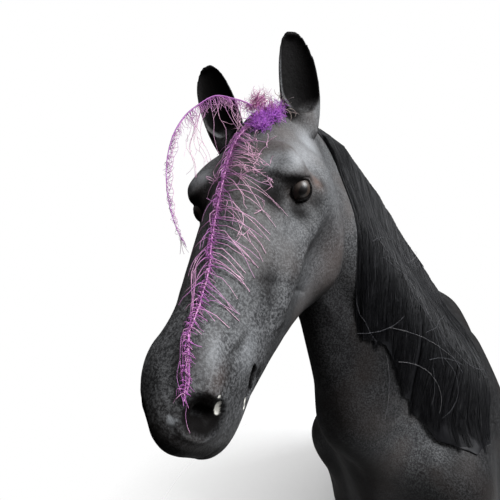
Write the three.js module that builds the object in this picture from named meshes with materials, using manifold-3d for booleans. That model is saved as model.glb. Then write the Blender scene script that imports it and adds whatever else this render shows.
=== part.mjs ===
// A life-size horse bust: head, neck, chest and withers cast in one piece and cut flat below,
// with set-in glass eyes, a mane of real hair and a plume of stripped feathers tied at the poll.
//
// Millimetres, +Z up. The horse faces -Y, its left side is +X, and the origin lies on the flat
// underside. The cast body is one implicit surface: a head loft, a neck loft and rounded muscle
// forms, each a signed distance in millimetres, melted together and then turned into triangles.

import * as THREE from "three";
import { mergeVertices } from "three/addons/utils/BufferGeometryUtils.js";
import Module from "manifold-3d";

// Driving dimensions

const POLL_HEIGHT = 1020; // underside to the top of the head between the ears
const POLL_FORWARD = 570; // poll ahead of the origin
const HEAD_TURN = 26.5; // degrees that the head looks to its left
const HEAD_DROP = 43; // degrees that the face line falls below the horizontal
const HEAD_TILT = 5; // degrees that the left eye stands higher

const rad = THREE.MathUtils.degToRad;
const { abs, hypot, max, min } = Math;

// Signed distances, smooth joins and smooth cuts

const clamp01 = (t) => max(0, min(1, t));
const sq = (t) => t * t;
const mix = (a, b, t) => a + (b - a) * t;
const smooth01 = (t) => clamp01(t) ** 2 * (3 - 2 * clamp01(t));

function join(a, b, blend) {
  const h = max(blend - abs(a - b), 0) / blend;
  return min(a, b) - (h * h * blend) / 4;
}

const cut = (a, b, blend) => -join(-a, b, blend);

// Distance to an ellipsoid, exact enough near its surface.
function ellipsoid(x, y, z, [cx, cy, cz], [rx, ry, rz]) {
  const px = x - cx;
  const py = y - cy;
  const pz = z - cz;
  const k0 = hypot(px / rx, py / ry, pz / rz);
  const k1 = hypot(px / (rx * rx), py / (ry * ry), pz / (rz * rz));
  return k1 < 1e-9 ? -min(rx, ry, rz) : (k0 * (k0 - 1)) / k1;
}

// Distance to a rod between two points whose radius runs from ra to rb.
function rod(x, y, z, a, b, ra, rb) {
  const bx = b[0] - a[0];
  const by = b[1] - a[1];
  const bz = b[2] - a[2];
  const px = x - a[0];
  const py = y - a[1];
  const pz = z - a[2];
  const t = clamp01((px * bx + py * by + pz * bz) / (bx * bx + by * by + bz * bz));
  return hypot(px - bx * t, py - by * t, pz - bz * t) - mix(ra, rb, t);
}

// A smooth curve through [position, value, ...] rows, read at any position.
function curveThrough(rows) {
  const count = rows[0].length - 1;
  const slopes = rows.map((row, i) => {
    const before = rows[max(i - 1, 0)];
    const after = rows[min(i + 1, rows.length - 1)];
    return row.slice(1).map((_, k) => (after[k + 1] - before[k + 1]) / (after[0] - before[0]));
  });
  return (at, out) => {
    let i = 0;
    while (i < rows.length - 2 && at > rows[i + 1][0]) i++;
    const width = rows[i + 1][0] - rows[i][0];
    const t = clamp01((at - rows[i][0]) / width);
    const t2 = t * t;
    const t3 = t2 * t;
    for (let k = 0; k < count; k++) {
      out[k] =
        (2 * t3 - 3 * t2 + 1) * rows[i][k + 1] +
        (t3 - 2 * t2 + t) * width * slopes[i][k] +
        (3 * t2 - 2 * t3) * rows[i + 1][k + 1] +
        (t3 - t2) * width * slopes[i + 1][k];
    }
    return out;
  };
}

// A loft's distance from its section: top and bottom of the section, and its half-widths at the
// upper, middle and lower part. depth runs from top to bottom.
function section(side, depth, [top, bottom, upper, middle, lower], power) {
  const half = (bottom - top) / 2;
  const t = (depth - (top + bottom) / 2) / half;
  const ct = max(-1, min(1, t));
  const width =
    ct < 0 ? mix(middle, upper, smooth01(-ct * 1.25)) : mix(middle, lower, smooth01(ct * 1.25));
  const u = abs(side) / width;
  const v = abs(t);
  const q = (u ** power + v ** power) ** (1 / power);
  const slope = hypot((u / q) ** (power - 1) / width, (v / q) ** (power - 1) / half);
  return q < 1e-6 ? -min(width, half) : (q - 1) / slope;
}

// The head, in its own frame: side is to the left, along runs from the poll to the lips and
// down runs from the face line to the jaw. The rows read: along, face line, jaw line, and the
// half-widths of the upper, middle and lower third.

const headRows = [
  [-30, 40, 150, 44, 62, 50],
  [20, 8, 206, 60, 88, 68],
  [80, -4, 266, 76, 104, 88],
  [150, -8, 310, 86, 110, 86],
  [215, -8, 318, 86, 104, 72],
  [280, -2, 292, 78, 90, 56],
  [350, 3, 244, 67, 76, 46],
  [430, 5, 198, 53, 59, 40],
  [500, 6, 162, 42, 48, 37],
  [560, 14, 140, 36, 42, 34],
];
const headAt = curveThrough(headRows);
const headRow = [0, 0, 0, 0, 0];
const HEAD_LOFT_START = -20;
const HEAD_LOFT_END = 520;

const headFrame = new THREE.Matrix4();
{
  const turn = rad(HEAD_TURN);
  const drop = rad(HEAD_DROP);
  const facing = new THREE.Vector3(Math.sin(turn), -Math.cos(turn), 0);
  const up = new THREE.Vector3(0, 0, 1);
  const side = new THREE.Vector3(Math.cos(turn), Math.sin(turn), 0);
  side.applyAxisAngle(facing, rad(HEAD_TILT));
  up.applyAxisAngle(facing, rad(HEAD_TILT));
  const along = facing.clone().multiplyScalar(Math.cos(drop)).addScaledVector(up, -Math.sin(drop));
  const down = facing.clone().multiplyScalar(-Math.sin(drop)).addScaledVector(up, -Math.cos(drop));
  headFrame.makeBasis(side, along, down).setPosition(0, -POLL_FORWARD, POLL_HEIGHT);
}
const toHead = headFrame.clone().invert().elements;

const fromHead = (side, along, down) => {
  const m = headFrame.elements;
  return [0, 1, 2].map((k) => m[k] * side + m[4 + k] * along + m[8 + k] * down + m[12 + k]);
};

const toHeadFrame = (x, y, z) => {
  const m = toHead;
  return [
    m[0] * x + m[4] * y + m[8] * z + m[12],
    m[1] * x + m[5] * y + m[9] * z + m[13],
    m[2] * x + m[6] * y + m[10] * z + m[14],
  ];
};

function headField(x, y, z) {
  const m = toHead;
  const hs = abs(m[0] * x + m[4] * y + m[8] * z + m[12]);
  const ha = m[1] * x + m[5] * y + m[9] * z + m[13];
  const hd = m[2] * x + m[6] * y + m[10] * z + m[14];
  const at = max(HEAD_LOFT_START, min(HEAD_LOFT_END, ha));
  headAt(at, headRow);
  let f = section(hs, hd, headRow, 2.4);
  f = cut(f, -max(HEAD_LOFT_START - ha, ha - HEAD_LOFT_END), 30);
  const e = (centre, radii) => ellipsoid(hs, ha, hd, centre, radii);
  const r = (a, b, ra, rb) => rod(hs, ha, hd, a, b, ra, rb);
  f = join(f, e([0, 550, 60], [38, 54, 48]), 44); // upper lip and nose tip
  f = join(f, e([0, 542, 112], [30, 46, 30]), 30); // chin and lower lip
  f = join(f, e([31, 516, 44], [15, 40, 28]), 22); // wing of the nostril
  f = join(f, e([62, 208, 64], [25, 42, 40]), 30); // eyeball's bulge
  f = join(f, r([68, 164, 24], [85, 203, 23], 21, 18), 44); // brow
  f = join(f, r([88, 250, 92], [92, 130, 84], 12, 20), 60); // cheekbone
  f = join(f, r([80, 270, 104], [58, 380, 112], 12, 8), 60); // facial crest
  f = join(f, e([62, 165, 200], [46, 96, 98]), 50); // jowl
  f = cut(f, e([112, 140, 36], [20, 28, 20]), 44); // hollow of the temple
  f = cut(f, e([116, 350, 170], [30, 100, 50]), 70); // hollow of the cheek
  f = cut(f, e([108, 262, 62], [24, 34, 24]), 40); // hollow ahead of the eye
  f = cut(f, e([106, 246, 54], [34, 36, 25]), 20); // socket under the brow
  f = cut(f, e([76, 474, 34], [26, 38, 18]), 34); // dip over the nostril
  f = cut(f, e([0, 360, 282], [24, 130, 46]), 24); // between the jaw bones
  return f;
}

// The neck and the chest. back and below are counted from the poll.

const neckRows = [
  [0, 0, 16, 50, 220, 36, 58, 44],
  [1, 100, 8, 76, 330, 38, 74, 52],
  [2, 200, 32, 90, 420, 36, 80, 58],
  [3, 326, 126, 112, 522, 36, 94, 68],
  [4, 466, 266, 140, 616, 44, 124, 88],
  [5, 604, 396, 190, 720, 70, 168, 112],
  [6, 736, 470, 254, 860, 104, 210, 140],
  [7, 806, 656, 300, 1040, 150, 222, 166],
  [8, 822, 900, 300, 1240, 184, 222, 190],
  [9, 822, 1160, 380, 1460, 190, 222, 190],
];
const NECK_END = 9;
const CREST_POWER = 2.2;

// The neck's sections stand across it: each row gives where the crest and the throat lie.
const neckAt = curveThrough(neckRows);
const neckRow = [0, 0, 0, 0, 0, 0, 0];

function neckField(x, y, z) {
  const back = y + POLL_FORWARD;
  const below = POLL_HEIGHT - z;
  const wide = abs(x);
  // The section that holds this point is found by halving.
  let low = -0.4;
  let high = NECK_END + 0.4;
  for (let i = 0; i < 12; i++) {
    const at = (low + high) / 2;
    neckAt(max(0, min(NECK_END, at)), neckRow);
    const extra = at - max(0, min(NECK_END, at));
    const [cb, cd, tb, td] = neckRow;
    const ux = tb - cb;
    const uy = td - cd;
    const length = hypot(ux, uy);
    // The normal of the section points down the neck.
    const nx = -uy / length;
    const ny = ux / length;
    const beyond = -(nx * (back - cb) + ny * (below - cd)) - extra * 160;
    if (beyond > 0) low = at;
    else high = at;
  }
  const found = (low + high) / 2;
  const at = max(0, min(NECK_END, found));
  neckAt(at, neckRow);
  const [cb, cd, tb, td, upper, middle, lower] = neckRow;
  const ux = tb - cb;
  const uy = td - cd;
  const length = hypot(ux, uy);
  const depth = ((back - cb) * ux + (below - cd) * uy) / length;
  const f = section(wide, depth, [0, length, upper, middle, lower], CREST_POWER);
  return cut(f, -max(-found, found - NECK_END) * 160, 30);
}

function chestField(x, y, z) {
  const b = y + POLL_FORWARD;
  const d = POLL_HEIGHT - z;
  const w = abs(x);
  const e = (centre, radii) => ellipsoid(w, b, d, centre, radii);
  const r = (p, q, rp, rq) => rod(w, b, d, p, q, rp, rq);
  let f = e([16, 262, 662], [50, 110, 78]); // breast
  f = join(f, r([92, 560, 560], [150, 356, 800], 44, 62), 110); // shoulder blade
  f = join(f, r([136, 372, 800], [170, 450, 1080], 66, 66), 100); // upper arm
  return f;
}

function horseField(x, y, z) {
  let f = join(neckField(x, y, z), chestField(x, y, z), 70);
  const m = toHead;
  const side = m[0] * x + m[4] * y + m[8] * z + m[12];
  const down = m[2] * x + m[6] * y + m[10] * z + m[14];
  // The jowl's edge is crisp on the side the head turns to and stretched smooth on the other.
  const crisp = smooth01((down - 30) / 150) * smooth01((side + 60) / 90);
  f = join(f, headField(x, y, z), mix(70, 12, crisp));
  return max(f, -z - 25);
}

// Turning a field into triangles: each cube of the grid is six tetrahedra, so the surface is
// always closed.

const CORNERS = [0, 1, 2, 3, 4, 5, 6, 7].map((i) => [i & 1, (i >> 1) & 1, (i >> 2) & 1]);
const TETRAHEDRA = [
  [0, 1, 3, 7],
  [0, 3, 2, 7],
  [0, 2, 6, 7],
  [0, 6, 4, 7],
  [0, 4, 5, 7],
  [0, 5, 1, 7],
];

function meshField(field, low, high, cell) {
  const n = low.map((v, k) => Math.ceil((high[k] - v) / cell) + 1);
  const [nx, ny, nz] = n;
  const values = new Float32Array(nx * ny * nz);
  const at = (i, j, k) => i + nx * (j + ny * k);
  const BLOCK = 4;
  for (let k0 = 0; k0 < nz; k0 += BLOCK)
    for (let j0 = 0; j0 < ny; j0 += BLOCK)
      for (let i0 = 0; i0 < nx; i0 += BLOCK) {
        const c = (BLOCK - 1) / 2;
        const middle = field(
          low[0] + (i0 + c) * cell,
          low[1] + (j0 + c) * cell,
          low[2] + (k0 + c) * cell,
        );
        const far = abs(middle) > cell * BLOCK * 1.6;
        for (let k = k0; k < min(k0 + BLOCK, nz); k++)
          for (let j = j0; j < min(j0 + BLOCK, ny); j++)
            for (let i = i0; i < min(i0 + BLOCK, nx); i++) {
              const v = far
                ? middle
                : field(low[0] + i * cell, low[1] + j * cell, low[2] + k * cell);
              values[at(i, j, k)] = abs(v) < 1e-4 * cell ? 1e-4 * cell : v;
            }
      }
  const points = [];
  const faces = [];
  const seen = new Map();
  const vertex = (a, b) => {
    const key = a < b ? a * 67108864 + b : b * 67108864 + a;
    let id = seen.get(key);
    if (id === undefined) {
      const t = values[a] / (values[a] - values[b]);
      const ai = [a % nx, Math.floor(a / nx) % ny, Math.floor(a / (nx * ny))];
      const bi = [b % nx, Math.floor(b / nx) % ny, Math.floor(b / (nx * ny))];
      id = points.length / 3;
      for (let k = 0; k < 3; k++) points.push(low[k] + cell * mix(ai[k], bi[k], t));
      seen.set(key, id);
    }
    return id;
  };
  for (let k = 0; k < nz - 1; k++)
    for (let j = 0; j < ny - 1; j++)
      for (let i = 0; i < nx - 1; i++) {
        const ids = CORNERS.map(([a, b, c]) => at(i + a, j + b, k + c));
        let inside = 0;
        for (const id of ids) if (values[id] < 0) inside++;
        if (inside === 0 || inside === 8) continue;
        for (const tetrahedron of TETRAHEDRA) {
          const t = tetrahedron.map((c) => ids[c]);
          const within = t.filter((id) => values[id] < 0);
          const outside = t.filter((id) => values[id] >= 0);
          if (!within.length || !outside.length) continue;
          // An even reordering keeps the face's side, an odd one turns it round.
          const order = [...within, ...outside].map((id) => t.indexOf(id));
          let odd = false;
          for (let p = 0; p < 4; p++)
            for (let q = p + 1; q < 4; q++) if (order[p] > order[q]) odd = !odd;
          const push = (a, b, c) => faces.push(...(odd ? [a, c, b] : [a, b, c]));
          const [w0, w1, w2] = within;
          const [o0, o1, o2] = outside;
          if (within.length === 1) push(vertex(w0, o0), vertex(w0, o1), vertex(w0, o2));
          else if (within.length === 3) push(vertex(w0, o0), vertex(w1, o0), vertex(w2, o0));
          else {
            push(vertex(w0, o0), vertex(w0, o1), vertex(w1, o0));
            push(vertex(w1, o0), vertex(w0, o1), vertex(w1, o1));
          }
        }
      }
  return { points, faces };
}

// Fewer triangles: the edge whose loss moves the surface least goes first, and a small charge
// on long edges keeps the triangles even.

const LONG_EDGE_CHARGE = 2e-5;

function simplify({ points, faces }, target) {
  const count = points.length / 3;
  const p = Float64Array.from(points);
  const f = Int32Array.from(faces);
  const gone = new Uint8Array(f.length / 3);
  const around = Array.from({ length: count }, () => []);
  const quadrics = new Float64Array(count * 10);
  for (let t = 0; t < gone.length; t++) {
    const [a, b, c] = [f[3 * t], f[3 * t + 1], f[3 * t + 2]];
    const u = [0, 1, 2].map((k) => p[3 * b + k] - p[3 * a + k]);
    const v = [0, 1, 2].map((k) => p[3 * c + k] - p[3 * a + k]);
    const n = [u[1] * v[2] - u[2] * v[1], u[2] * v[0] - u[0] * v[2], u[0] * v[1] - u[1] * v[0]];
    const length = hypot(...n) || 1;
    const [x, y, z] = n.map((w) => w / length);
    const w = -(x * p[3 * a] + y * p[3 * a + 1] + z * p[3 * a + 2]);
    const terms = [x * x, x * y, x * z, x * w, y * y, y * z, y * w, z * z, z * w, w * w];
    for (const id of [a, b, c]) {
      around[id].push(t);
      for (let k = 0; k < 10; k++) quadrics[10 * id + k] += (terms[k] * length) / 2;
    }
  }
  const q = new Float64Array(10);
  const best = [0, 0, 0, 0];
  const errorAt = (x, y, z) =>
    q[0] * x * x + 2 * q[1] * x * y + 2 * q[2] * x * z + 2 * q[3] * x + q[4] * y * y +
    2 * q[5] * y * z + 2 * q[6] * y + q[7] * z * z + 2 * q[8] * z + q[9];
  // Where the two ends of an edge are best put together, and what that costs.
  const meeting = (a, b) => {
    for (let k = 0; k < 10; k++) q[k] = quadrics[10 * a + k] + quadrics[10 * b + k];
    const c00 = q[4] * q[7] - q[5] * q[5];
    const c01 = q[2] * q[5] - q[1] * q[7];
    const c02 = q[1] * q[5] - q[2] * q[4];
    const size = q[0] * c00 + q[1] * c01 + q[2] * c02;
    const middle = [0, 1, 2].map((k) => (p[3 * a + k] + p[3 * b + k]) / 2);
    const length = hypot(...[0, 1, 2].map((k) => p[3 * a + k] - p[3 * b + k]));
    let [x, y, z] = middle;
    if (abs(size) > 1e-6 * (q[0] + q[4] + q[7]) ** 3) {
      const c11 = q[0] * q[7] - q[2] * q[2];
      const c12 = q[1] * q[2] - q[0] * q[5];
      const c22 = q[0] * q[4] - q[1] * q[1];
      const sx = -(c00 * q[3] + c01 * q[6] + c02 * q[8]) / size;
      const sy = -(c01 * q[3] + c11 * q[6] + c12 * q[8]) / size;
      const sz = -(c02 * q[3] + c12 * q[6] + c22 * q[8]) / size;
      if (hypot(sx - x, sy - y, sz - z) < length) [x, y, z] = [sx, sy, sz];
    }
    best[0] = x;
    best[1] = y;
    best[2] = z;
    best[3] = max(0, errorAt(x, y, z)) + LONG_EDGE_CHARGE * length ** 4;
  };
  // A heap of edges, the cheapest on top; an edge whose ends have changed since is skipped.
  const stamp = new Int32Array(count);
  const heap = [];
  const swap = (i, j) => ([heap[i], heap[j]] = [heap[j], heap[i]]);
  const put = (a, b) => {
    meeting(a, b);
    heap.push([best[3], a, b, stamp[a] + stamp[b]]);
    let i = heap.length - 1;
    while (i > 0 && heap[i][0] < heap[(i - 1) >> 1][0]) {
      swap(i, (i - 1) >> 1);
      i = (i - 1) >> 1;
    }
  };
  const take = () => {
    const top = heap[0];
    const last = heap.pop();
    if (!heap.length) return top;
    heap[0] = last;
    for (let i = 0; ; ) {
      let least = i;
      for (const j of [2 * i + 1, 2 * i + 2])
        if (j < heap.length && heap[j][0] < heap[least][0]) least = j;
      if (least === i) return top;
      swap(i, least);
      i = least;
    }
  };
  const neighbours = (a) => {
    const set = new Set();
    for (const t of around[a]) for (let k = 0; k < 3; k++) set.add(f[3 * t + k]);
    set.delete(a);
    return set;
  };
  const turnsOver = (moved, other, [x, y, z]) => {
    for (const t of around[moved]) {
      const ids = [f[3 * t], f[3 * t + 1], f[3 * t + 2]];
      if (ids.includes(other)) continue;
      while (ids[0] !== moved) ids.push(ids.shift());
      const [, b, c] = ids;
      const ux = p[3 * c] - p[3 * b];
      const uy = p[3 * c + 1] - p[3 * b + 1];
      const uz = p[3 * c + 2] - p[3 * b + 2];
      const normal = (vx, vy, vz) => [uy * vz - uz * vy, uz * vx - ux * vz, ux * vy - uy * vx];
      const old = normal(
        p[3 * moved] - p[3 * b],
        p[3 * moved + 1] - p[3 * b + 1],
        p[3 * moved + 2] - p[3 * b + 2],
      );
      const now = normal(x - p[3 * b], y - p[3 * b + 1], z - p[3 * b + 2]);
      const along = old[0] * now[0] + old[1] * now[1] + old[2] * now[2];
      if (along < 0.3 * hypot(...old) * hypot(...now)) return true;
      if (hypot(...now) < 0.03 * (ux * ux + uy * uy + uz * uz)) return true;
    }
    return false;
  };
  for (let a = 0; a < count; a++) for (const b of neighbours(a)) if (a < b) put(a, b);
  let left = gone.length;
  while (left > target && heap.length) {
    const [, a, b, when] = take();
    if (stamp[a] < 0 || stamp[b] < 0 || stamp[a] + stamp[b] !== when) continue;
    const na = neighbours(a);
    const nb = neighbours(b);
    if (!na.has(b)) continue;
    let shared = 0;
    for (const id of na) if (nb.has(id)) shared++;
    if (shared !== 2) continue;
    meeting(a, b);
    const place = best.slice(0, 3);
    if (turnsOver(a, b, place) || turnsOver(b, a, place)) continue;
    for (let k = 0; k < 3; k++) p[3 * a + k] = place[k];
    for (let k = 0; k < 10; k++) quadrics[10 * a + k] += quadrics[10 * b + k];
    for (const t of around[b]) {
      const ids = [f[3 * t], f[3 * t + 1], f[3 * t + 2]];
      if (ids.includes(a)) {
        gone[t] = 1;
        left--;
        continue;
      }
      for (let k = 0; k < 3; k++) if (f[3 * t + k] === b) f[3 * t + k] = a;
      around[a].push(t);
    }
    for (const id of na) around[id] = around[id].filter((t) => !gone[t]);
    for (const id of nb) around[id] = around[id].filter((t) => !gone[t]);
    around[b] = [];
    stamp[a]++;
    stamp[b] = -1e9;
    for (const id of neighbours(a)) put(a, id);
  }
  const renamed = new Map();
  const outPoints = [];
  const outFaces = [];
  for (let t = 0; t < gone.length; t++) {
    if (gone[t]) continue;
    for (let k = 0; k < 3; k++) {
      const id = f[3 * t + k];
      if (!renamed.has(id)) {
        renamed.set(id, outPoints.length / 3);
        outPoints.push(p[3 * id], p[3 * id + 1], p[3 * id + 2]);
      }
      outFaces.push(renamed.get(id));
    }
  }
  return { points: outPoints, faces: outFaces };
}

// Solids that can be joined and cut

const wasm = await Module();
wasm.setup();

// A mesh wound inside out is turned round first.
const outward = ({ points, faces }) => {
  const corner = (id) => new THREE.Vector3().fromArray(points, 3 * id);
  let volume = 0;
  for (let t = 0; t < faces.length; t += 3)
    volume += corner(faces[t]).dot(corner(faces[t + 1]).cross(corner(faces[t + 2])));
  return { points, faces: volume < 0 ? faces.slice().reverse() : faces };
};

const solid = (mesh) => {
  const { points, faces } = outward(mesh);
  return new wasm.Manifold(
    new wasm.Mesh({
      numProp: 3,
      vertProperties: Float32Array.from(points),
      triVerts: Uint32Array.from(faces),
    }),
  );
};

const meshOf = (body) => {
  const { vertProperties, triVerts, numProp } = body.getMesh();
  const points = [];
  for (let i = 0; i < vertProperties.length; i += numProp)
    points.push(vertProperties[i], vertProperties[i + 1], vertProperties[i + 2]);
  return { points, faces: Array.from(triVerts) };
};

const fromGeometry = (geometry) => {
  geometry.deleteAttribute("normal");
  geometry.deleteAttribute("uv");
  const merged = mergeVertices(geometry, 1e-4);
  return { points: Array.from(merged.attributes.position.array), faces: Array.from(merged.index.array) };
};

// The same mesh with its surface moved out by a little.
function grown({ points, faces }, by) {
  const normals = new Float64Array(points.length);
  for (let t = 0; t < faces.length; t += 3) {
    const [a, b, c] = [faces[t], faces[t + 1], faces[t + 2]].map((id) =>
      new THREE.Vector3().fromArray(points, 3 * id),
    );
    const n = b.clone().sub(a).cross(c.clone().sub(a)).normalize();
    const corners = [a, b, c];
    for (let k = 0; k < 3; k++) {
      const u = corners[(k + 1) % 3].clone().sub(corners[k]);
      const v = corners[(k + 2) % 3].clone().sub(corners[k]);
      const angle = u.angleTo(v);
      for (let j = 0; j < 3; j++) normals[3 * faces[t + k] + j] += n.getComponent(j) * angle;
    }
  }
  const out = points.slice();
  for (let i = 0; i < out.length; i += 3) {
    const length = hypot(normals[i], normals[i + 1], normals[i + 2]) || 1;
    for (let k = 0; k < 3; k++) out[i + k] += (normals[i + k] / length) * by;
  }
  return { points: out, faces };
}

// A closed skin over rings of points that all have the same number of points.
function loft(rings) {
  const n = rings[0].length;
  const points = rings.flat(2);
  const faces = [];
  for (let i = 0; i < rings.length - 1; i++)
    for (let j = 0; j < n; j++) {
      const [a, b] = [i * n + j, i * n + ((j + 1) % n)];
      faces.push(a, b, a + n, b, b + n, a + n);
    }
  const middle = (ring) => [0, 1, 2].map((k) => ring.reduce((sum, v) => sum + v[k], 0) / n);
  const first = points.length / 3;
  points.push(...middle(rings[0]), ...middle(rings[rings.length - 1]));
  const last = (rings.length - 1) * n;
  for (let j = 0; j < n; j++) {
    faces.push(first, (j + 1) % n, j);
    faces.push(first + 1, last + j, last + ((j + 1) % n));
  }
  return { points, faces };
}

// A round bar along a path, thinning from one radius to another.
function bar(path, steps, sides, from, to) {
  const curve = new THREE.CatmullRomCurve3(path.map((v) => new THREE.Vector3(...v)));
  const frames = curve.computeFrenetFrames(steps, false);
  const rings = [];
  for (let i = 0; i <= steps; i++) {
    const at = curve.getPointAt(i / steps);
    const radius = mix(from, to, i / steps);
    rings.push(
      Array.from({ length: sides }, (_, j) => {
        const angle = (2 * Math.PI * j) / sides;
        return at
          .clone()
          .addScaledVector(frames.normals[i], Math.cos(angle) * radius)
          .addScaledVector(frames.binormals[i], Math.sin(angle) * radius)
          .toArray();
      }),
    );
  }
  return loft(rings);
}

// First point of the body met along a straight line.
function meet(start, direction, clearance = 0) {
  let travelled = 0;
  for (let i = 0; i < 60; i++) {
    const at = start.map((v, k) => v + direction[k] * travelled);
    const gap = horseField(...at) - clearance;
    if (gap < 0.05) return at;
    travelled += gap * 0.9;
  }
  return start.map((v, k) => v + direction[k] * travelled);
}

function normalAt([x, y, z]) {
  const d = 1.5;
  return new THREE.Vector3(
    horseField(x + d, y, z) - horseField(x - d, y, z),
    horseField(x, y + d, z) - horseField(x, y - d, z),
    horseField(x, y, z + d) - horseField(x, y, z - d),
  ).normalize();
}

// The body's triangles

const CELL = 10;
const BODY_TRIANGLES = 3900;
const MUZZLE_REACH = 510; // the field is read this far ahead of the poll, behind it and above it
const REAR_REACH = 870;
const POLL_COVER = 60;
const HALF_SPAN = 310;
const BASE_COVER = 45;
const bodyMesh = simplify(
  meshField(
    horseField,
    [-HALF_SPAN, -POLL_FORWARD - MUZZLE_REACH, -BASE_COVER],
    [HALF_SPAN, REAR_REACH - POLL_FORWARD, POLL_HEIGHT + POLL_COVER],
    CELL,
  ),
  BODY_TRIANGLES,
);
const CLEARANCE = 0.3; // between pieces that touch
const bodyGrown = solid(grown(bodyMesh, CLEARANCE * 1.4));

// Ears: a leaf hollowed out from the front. The rows read: share of the length, half-width,
// depth behind the rim's plane.

const EAR_LEAN = 10; // both tips lean this far to the right
const EAR_FOOT = [72, 34, 66];
const EAR_TIP = [102, -86, -85];
const LEFT_EAR_ACROSS = [0.78, -0.44, 0.41];
const RIGHT_EAR_ACROSS = [0.93, 0.2, -0.05]; // turned further forward
const EAR_WALL = 5;
const EAR_SIDES = 12;
const earRows = [
  [0, 28, 24],
  [0.18, 36, 27],
  [0.36, 42, 26],
  [0.56, 42, 22],
  [0.73, 38, 18],
  [0.87, 30, 14],
  [0.96, 19, 9],
  [1, 10, 5],
];
const earAt = curveThrough(earRows);

function ear(mirror, wall) {
  const flip = ([s, a, d]) => new THREE.Vector3(...fromHead(mirror * s, a, d));
  const foot = flip(EAR_FOOT);
  const [tipSide, tipAlong, tipDown] = EAR_TIP;
  const axis = flip([tipSide - mirror * EAR_LEAN, tipAlong, tipDown]).sub(foot);
  const length = axis.length();
  axis.normalize();
  const turned = mirror > 0 ? LEFT_EAR_ACROSS : RIGHT_EAR_ACROSS;
  const across = flip(turned).sub(flip([0, 0, 0]));
  across.addScaledVector(axis, -across.dot(axis)).normalize();
  const opening = new THREE.Vector3().crossVectors(across, axis).multiplyScalar(mirror).normalize();
  const out = [0, 0];
  const rings = [];
  const shares = wall ? [0.24, 0.3, 0.4, 0.54, 0.68, 0.81, 0.9, 0.95] : earRows.map((row) => row[0]);
  for (const t of shares) {
    earAt(t, out);
    const centre = foot.clone().addScaledVector(axis, t * length);
    centre.addScaledVector(across, -10 * sq(t) * t);
    const narrowing = wall ? mix(0.45, 1, smooth01((t - 0.22) / 0.16)) : 1;
    const half = max(out[0] - wall, 1.5) * narrowing;
    const depth = max(out[1] - wall, 1.5) * narrowing;
    rings.push(
      Array.from({ length: EAR_SIDES }, (_, j) => {
        const angle = (2 * Math.PI * j) / EAR_SIDES;
        const forward = Math.sin(angle);
        const reach = forward > 0 ? (wall ? depth + 24 : out[1] * 0.28) : depth;
        return centre
          .clone()
          .addScaledVector(across, Math.cos(angle) * half)
          .addScaledVector(opening, forward * reach)
          .toArray();
      }),
    );
  }
  return loft(rings);
}

// Eyes, and the small hollows of the face. All places are in the head's frame.

const EYE_RADIUS = 19;
const EYE_CENTRE = [83, 214, 57];
const EYE_SPLITS = 2;
const NOSTRIL = { centre: [42, 568, 40], radii: [10, 15, 11], lean: 40 };
const MOUTH_CORNER = { centre: [40, 488, 126], radii: [12, 14, 7], lean: 45 };

function eyeball(mirror, radius) {
  const [s, a, d] = EYE_CENTRE;
  const ball = new THREE.IcosahedronGeometry(radius, EYE_SPLITS);
  ball.translate(...fromHead(mirror * s, a, d));
  return fromGeometry(ball);
}

function hollow(mirror, { centre, radii, lean }) {
  const ball = new THREE.IcosahedronGeometry(1, 1);
  ball.scale(...radii);
  ball.rotateX(rad(lean));
  const { points, faces } = fromGeometry(ball);
  const placed = [];
  for (let i = 0; i < points.length; i += 3)
    placed.push(...fromHead(mirror * (centre[0] + points[i]), centre[1] + points[i + 1], centre[2] + points[i + 2]));
  return { points: placed, faces };
}

let horse = solid(bodyMesh);
for (const side of [1, -1]) horse = horse.add(solid(ear(side, 0)));
for (const side of [1, -1]) {
  horse = horse.subtract(solid(ear(side, EAR_WALL)));
  horse = horse.subtract(solid(eyeball(side, EYE_RADIUS + CLEARANCE)));
  horse = horse.subtract(solid(hollow(side, NOSTRIL)));
  horse = horse.subtract(solid(hollow(side, MOUTH_CORNER)));
}
const below = new THREE.BoxGeometry(2000, 3000, 200);
below.translate(0, 0, -100);
horse = horse.subtract(solid(fromGeometry(below)));

// Mane: it grows along the crest, folds over it and hangs down the left side of the neck.
// Hair ends along a ragged hem, whose rows read: share along the crest, back, below.

const MANE_FRONT = 1.35; // where it starts and ends, in the neck's sections
const MANE_REAR = 5;
const MANE_COLUMNS = 17;
const MANE_ROWS = 10;
const MANE_THICKNESS = 12;
const MANE_ROOT_DEPTH = 9;
const hemRows = [
  [0, 174, 436],
  [0.1, 175, 458],
  [0.25, 190, 482],
  [0.4, 236, 504],
  [0.55, 262, 606],
  [0.7, 292, 668],
  [0.85, 344, 716],
  [1, 420, 742],
];
const hemAt = curveThrough(hemRows);

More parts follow.
